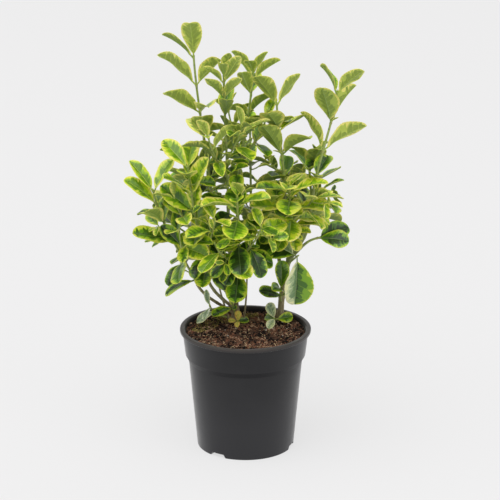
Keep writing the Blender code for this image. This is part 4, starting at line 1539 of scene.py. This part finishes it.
def bladeShares():
    # where the rows of a blade leave its midrib, with a thin row for each vein, and the numbers of those rows
    look = leafLook
    thin = look["veinWidth"] / 2
    shares = []
    veinRows = []
    before = 0
    for vein in np.linspace(*look["veinSpan"], look["veins"]):
        shares += list(np.linspace(before, vein - thin, 4))
        veinRows.append(look["petioleRows"] + len(shares) - 1)
        before = vein + thin
    tip = np.sin(np.linspace(0, math.pi / 2, look["tipRows"]))
    return np.array(shares + list(before + (1 - before) * tip)), veinRows


def leafTopology(rows, veinRows):
    # faces, zone numbers and sides of one leaf: rows of upper and lower vertices, closed at the tip by one more
    topStrips = ("vein", "core", "core", "mid", "lime", "margin", "margin")
    underStrips = ("vein", "under", "underMid", "underRim")
    paler = {"core": "mid", "mid": "lime", "under": "underMid"}
    topCount = 2 * len(topStrips) + 1
    underCount = 2 * len(underStrips) + 1
    rowSize = topCount + underCount
    tip = rows * rowSize
    faces = []
    zones = []
    lefts = []
    for row in range(rows):
        low = row * rowSize
        high = low + rowSize
        last = row == rows - 1
        for first, strips, lower in ((low, topStrips, False), (low + topCount, underStrips, True)):
            for strip, zone in enumerate(strips[::-1] + strips):
                left = first + strip
                ring = [left, left + 1, tip] if last else [left, left + 1, left + 1 + rowSize, left + rowSize]
                faces.append(ring[::-1] if lower else ring)
                if row < leafLook["petioleRows"]:
                    zone = "vein"
                elif row in veinRows:
                    zone = paler.get(zone, zone)
                zones.append(zone)
                lefts.append(strip < len(strips))
        topEnd = low + topCount - 1
        underEnd = low + rowSize - 1
        if last:
            faces += [[topEnd, underEnd, tip], [low, tip, low + topCount]]
        else:
            faces.append([topEnd, underEnd, underEnd + rowSize, topEnd + rowSize])
            faces.append([low, high, high + topCount, low + topCount])
        zones += ["vein" if row < leafLook["petioleRows"] else "margin"] * 2
        lefts += [False, True]
    faces.append(list(range(topCount, rowSize)) + list(range(topCount))[::-1])
    zones.append("vein")
    lefts.append(False)
    return faces, [leafZones.index(zone) for zone in zones], lefts


def halfLines(rng, blade, width, midrib, yellow):
    # one half of a leaf: the lines between its colours, as shares of the half width, which step at each vein
    look = leafLook
    sector = np.searchsorted(np.linspace(*look["veinSpan"], look["veins"]), blade)
    count = look["veins"] + 1
    ragged, fine, burst = (np.array([rng.uniform(-1, 1) for _ in blade]) for _ in range(3))
    burst = np.clip(burst - look["burst"], 0, 1) / (1 - look["burst"])
    levels = []
    for _ in range(count):
        level = rng.gauss(look["core"] - look["coreYellow"] * yellow, look["coreSpread"])
        levels.append(level * rng.uniform(0, 0.4) if rng.random() < look["brokenShare"] else level)
    body = np.sin(math.pi * np.clip(blade * 1.02, 0, 1)) ** 0.5
    edge = (look["marginWidth"] + look["marginYellow"] * yellow * rng.uniform(0.6, 1.4)) * (1 + 0.8 * ragged) * (1 - 0.8 * burst)
    edge = np.clip(edge / width * (0.7 + 0.9 * blade**2), 0.03, 0.8)
    streaks = 0.7 * np.clip(fine - 0.45, 0, 1)
    lime = 1 - edge - streaks * rng.uniform(0.3, 1)
    core = np.convolve(np.pad(np.array(levels)[sector], 1, "edge"), (0.2, 0.6, 0.2), "valid") * body + 0.08 * ragged
    core += burst * (0.9 - core) * body
    parts = np.array([rng.uniform(0.25, 0.8) for _ in range(count)])[sector]
    mid = core + (lime - core) * np.clip(parts + 0.25 * fine, 0.1, 0.9)
    lime = np.clip(lime, 0.14, 0.96)
    mid = np.clip(mid, 0.10, lime - 0.03)
    core = np.clip(core, midrib + 0.02, np.maximum(mid - 0.03, midrib + 0.02))
    mid = np.maximum(mid, core + 0.02)
    lime = np.maximum(lime, mid + 0.02)
    rim = np.clip(1 - look["underEdge"] * edge - streaks, midrib + 0.06, 0.97)
    inner = np.clip(rim - 0.6 * (rim - core) + 0.16 * fine - streaks, midrib + 0.03, rim - 0.02)
    top = [midrib * 0, midrib, (midrib + core) / 2, core, mid, lime, (lime + 1) / 2, midrib * 0 + 1]
    under = [midrib * 0, midrib, inner, rim, midrib * 0 + 1]
    return top, under


def leafVerts(form, rng, yellow, shares):
    # the vertices of one fine leaf on the root, directions, length and breadth of its place
    look = leafLook
    root, way, face, length, broad = form
    stalk = look["petiole"]
    stalkShares = np.linspace(0, stalk, look["petioleRows"], endpoint=False)
    share = np.concatenate([stalkShares, stalk + (1 - stalk) * shares])
    blade = np.clip((share - stalk) / (1 - stalk), 0, 1)
    small = min(1.0, length / (40 * mm))

    # outline: half width of the blade, and of the stalk below it
    baseShape = byHeight(look["outlineBase"], root.z) * rng.uniform(0.85, 1.1)
    tipShape = byHeight(look["outlineTip"], root.z) * rng.uniform(0.9, 1.2)
    peak = baseShape / (baseShape + tipShape)
    stalkHalf = look["petioleRadius"] * (0.5 + 0.5 * small)

    def outlineAt(place):
        return place**baseShape * (1 - place) ** tipShape / (peak**baseShape * (1 - peak) ** tipShape)

    def halfAt(place):
        blunt = outlineAt(place) * length * growth["leafWidth"] * broad * look["narrow"] / 2
        return np.maximum(blunt, stalkHalf * (1 - 0.75 * place))

    # midrib line: arched, curling to the tip, swept and twisted a little
    curl = math.radians(rng.uniform(*look["curl"]))
    bend = math.radians(growth["leafArch"]) * share + curl * share**3
    stepLength = np.diff(share, prepend=0) * length
    forward = np.cumsum(np.cos(bend) * stepLength)
    down = np.cumsum(np.sin(bend) * stepLength)
    sweep = rng.uniform(-look["sweep"], look["sweep"]) * length * share**2
    twist = math.radians(rng.uniform(-look["twist"], look["twist"])) * share
    across = way.cross(face)
    wayArray, faceArray, acrossArray, rootArray = (np.array(item) for item in (way, face, across, root))
    spine = rootArray + forward[:, None] * wayArray - down[:, None] * faceArray + sweep[:, None] * acrossArray
    normal = np.sin(bend)[:, None] * wayArray + np.cos(bend)[:, None] * faceArray
    side = np.cos(twist)[:, None] * acrossArray + np.sin(twist)[:, None] * normal
    normal = np.cos(twist)[:, None] * normal - np.sin(twist)[:, None] * acrossArray

    # the lines of each half, as shares of the half width, from the left edge to the right one
    width = np.maximum(halfAt(blade) / length, 0.004)
    midrib = look["midribWidth"][0] + (look["midribWidth"][1] - look["midribWidth"][0]) * blade
    midrib = np.clip(midrib * small / (width * length), 0.02, 0.4)
    left, right = (halfLines(rng, blade, width, midrib, yellow) for _ in range(2))
    lines = [-line for line in left[0][:0:-1]] + right[0] + [-line for line in left[1][:0:-1]] + right[1]
    lines = np.stack(lines, axis=1)
    out = np.abs(lines)

    # each row runs forward to the margin as the veins do
    slant = look["veinSlant"] * rng.uniform(0.8, 1.1)
    shift = slant * 4 * (blade * (1 - blade))[:, None] * out
    place = np.clip(blade[:, None] + shift, 0, 1)
    placeShare = np.where(blade[:, None] > 0, stalk + (1 - stalk) * place, share[:, None])
    half = halfAt(place)
    tooth = np.where(np.arange(len(share)) % 2 == 0, 1.0, -1.0) * look["teeth"] * (blade > 0.1) * (blade < 0.97)
    half = half * (1 + tooth[:, None] * out**4)

    # height over the flat blade: folded along the midrib, quilted between the veins, rippled at the edge
    fold = math.radians(byHeight(look["fold"], root.z) + rng.uniform(-look["foldSpread"], look["foldSpread"]))
    low, high = look["veinSpan"]
    beat = (blade - low) / (high - low) * (look["veins"] - 1)
    quilt = look["veinDepth"] * small * (np.abs(np.sin(math.pi * beat)) * (blade > 0))[:, None]
    ripples = [rng.uniform(0.9, 1.8) for _ in range(2)]
    phases = [rng.uniform(0, math.tau) for _ in range(2)]
    waves = [np.sin(math.tau * wave * place + phase) for wave, phase in zip(ripples, phases)]
    ripple = look["ripple"] * np.where(lines < 0, *waves)
    height = half * out * math.sin(fold) * (1 - look["edgeRoll"] * out**2) + half * ripple * out**2
    height += quilt * np.sin(math.pi * out) * np.clip(outlineAt(place), 0, 1)
    groove = look["midribDepth"] * small * np.exp(-((out / (midrib[:, None] + 0.02)) ** 2)) * (blade > 0)[:, None]
    thick = look["thickness"] * (0.6 + 0.4 * small)
    thickness = thick + (stalkHalf * 2 - thick) * np.clip(1 - place * 7, 0, 1)
    lower = np.arange(lines.shape[1]) >= len(left[0]) * 2 - 1
    height -= groove * np.where(lower, 1.4, 1.0)
    height -= np.where(lower, thickness * (0.55 + 0.45 * (1 - out**4)), 0)

    columns = [
        np.stack([np.interp(placeShare, share, line[:, axis]) for axis in range(3)], axis=-1)
        for line in (spine, side, normal)
    ]
    reach = (np.sign(lines) * half * out * math.cos(fold))[:, :, None]
    grid = columns[0] + reach * columns[1] + height[:, :, None] * columns[2]
    return np.concatenate([grid[:-1].reshape(-1, 3), spine[-1:]])


def axilForms(rows, rng):
    # small pairs of young leaves in the axils along each shoot
    forms = []
    for data, points, _, _, _ in rows:
        for index in range(data["pairs"] - 1):
            if rng.random() > leafLook["axilShare"]:
                continue
            share = index / max(data["pairs"] - 1, 1)
            place = data["bare"] + (1 - data["bare"]) * (1 - (1 - share) ** data["crowd"])
            root, way = along(points, min(place + 0.012, 0.985))
            turn = rng.uniform(0, 360)
            for halfTurn in (0, 180):
                stance = {
                    "root": root,
                    "way": way,
                    "turn": turn + halfTurn,
                    "spread": rng.uniform(28, 48),
                    "facing": data["facing"],
                    "roll": rng.uniform(-20, 20),
                }
                leafWay, face = leafStance(stance, 0, 0)
                forms.append((root, leafWay, face, rng.uniform(*leafLook["axilLength"]), rng.uniform(0.8, 1.0)))
    return forms


def fillShoots(rows, rng, solids):
    # short shoots between the pairs that close the crown: their twigs, and each leaf that finds room
    look = leafLook
    low, high = look["fillSpan"]
    twigs = []
    forms = []
    for data, points, _, _, _ in rows:
        for index in range(data["pairs"]):
            share = (index + 0.45) / max(data["pairs"], 1)
            place = data["bare"] + (1 - data["bare"]) * (1 - (1 - share) ** data["crowd"])
            root, way = along(points, min(place, growth["lastPair"]))
            if not low < root.z < high or rng.random() > look["fillShare"]:
                continue
            right = (Vector((1, 0, 0)) - way * way.x).normalized()
            angle = rng.uniform(0, math.tau)
            outward = right * math.cos(angle) + way.cross(right) * math.sin(angle)
            reach = rng.uniform(*look["fillStem"])
            tip = root + (outward + way * rng.uniform(0.3, 0.8)).normalized() * reach
            tipWay = (outward + way * 1.2).normalized()
            turn = rng.uniform(0, 180)
            found = []
            for pair, size in ((0, 1.0), (1, 0.72)):
                foot = tip if pair else root.lerp(tip, 0.72)
                for halfTurn in (0, 180):
                    stance = {
                        "root": foot,
                        "way": tipWay,
                        "turn": turn + halfTurn + 90 * pair,
                        "spread": rng.uniform(52, 74) if pair == 0 else rng.uniform(30, 48),
                        "facing": data["facing"],
                        "roll": rng.uniform(-15, 15),
                    }
                    leafWay, face = leafStance(stance, 0, 0)
                    length = rng.uniform(*look["fillLength"]) * size
                    form = (foot, leafWay, face, length, rng.uniform(1.0, 1.2))
                    verts, faces = plainLeaf(*form, start=growth["bladeStart"] * 1.6)
                    blade = BVHTree.FromPolygons(verts, faces)
                    if overGround(verts) and not any(blade.overlap(other) for other in solids):
                        found.append((form, blade))
            if found:
                twigs.append(curve(root, outward, tip, tipWay, 6))
                for form, blade in found:
                    forms.append(form)
                    solids.append(blade)
    return twigs, forms


def makeLeaves(name, rows, leaves, number, materials, fill):
    rng = random.Random(leafLook["seed"] + number)
    shares, veinRows = bladeShares()
    leafFaces, leafZoneNumbers, lefts = leafTopology(leafLook["petioleRows"] + len(shares) - 1, veinRows)
    tints = list(leafTints)
    lighter = leafLook["lighter"].get(name, 0)
    spotted = len(materials) - 1
    verts = []
    faces = []
    zones = []
    forms = [(form, share, False) for form, share in leaves]
    forms += [(form, 0.5, False) for form in fill]
    forms += [(form, 1.0, True) for form in axilForms(rows, rng)]
    count = 0
    for form, share, small in forms:
        height = form[0].z
        youth = (height - 0.28) / 0.28 + 0.35 * (share - 0.5) + rng.gauss(0, leafLook["mixed"].get(name, 0.3)) + lighter
        youth += 0.3 if small else 0
        tint = "young" if youth > 0.55 else "ripe" if youth > 0.02 else "deep"
        chance = rng.random()
        if chance < leafLook["oldShare"].get(name, 0):
            tint = "old"
        # leaves below a height may take the pale tint, which is partly pale variegation and partly painted sky
        # reflection
        elif chance > 1 - leafLook["paleAndSheenShare"].get(name, 0) and height < leafLook["paleAndSheenTop"]:
            tint = "paleAndSheen"
        yellow = rng.gauss(0.28, 0.22) + 0.5 * lighter + (0.12 if tint == "young" else 0)
        yellow = min(1, max(0, yellow))
        points = leafVerts(form, rng, yellow, shares)
        verts.append(points)
        # painted reflection: on that one mass the right half of every leaf takes the pale tint, standing for the sky's
        # sheen on that half
        sides = ["paleAndSheen" if not left and name == leafLook["paintedSheenSide"] else tint for left in lefts]
        faces += [[count + corner for corner in face] for face in leafFaces]
        numbers = [tints.index(side) * len(leafZones) + zone for side, zone in zip(sides, leafZoneNumbers)]
        if tint == "old":
            numbers = [spotted if rng.random() < leafLook["spotShare"] else number for number in numbers]
        zones += numbers
        count += len(points)
    piece = newPiece(name + "_leaves", np.concatenate(verts), faces, materials, zones, 50)
    dress(piece, "foliage", name)
    return len(forms)


def makePlant():
    makeLimbs()
    print("trunks and boughs made")
    limbSolids = []
    for name in limbs:
        points = limbPath(name)
        limbSolids.append(BVHTree.FromPolygons(*tube(points, limbRadii(name, points, gap), growth["limbSides"])))
    grown, solids = grownMasses(limbSolids)
    solids += limbSolids
    twigs = twigMaterials()
    blades = leafMaterials()
    total = 0
    for number, (name, (rows, leaves)) in enumerate(grown.items()):
        fillTwigs, fill = fillShoots(rows, random.Random(leafLook["fillSeed"] + number), solids)
        makeTwigs(name, rows, twigs, fillTwigs)
        total += makeLeaves(name, rows, leaves, number, blades, fill)
    print("foliage made,", total, "leaves")


makePlant()
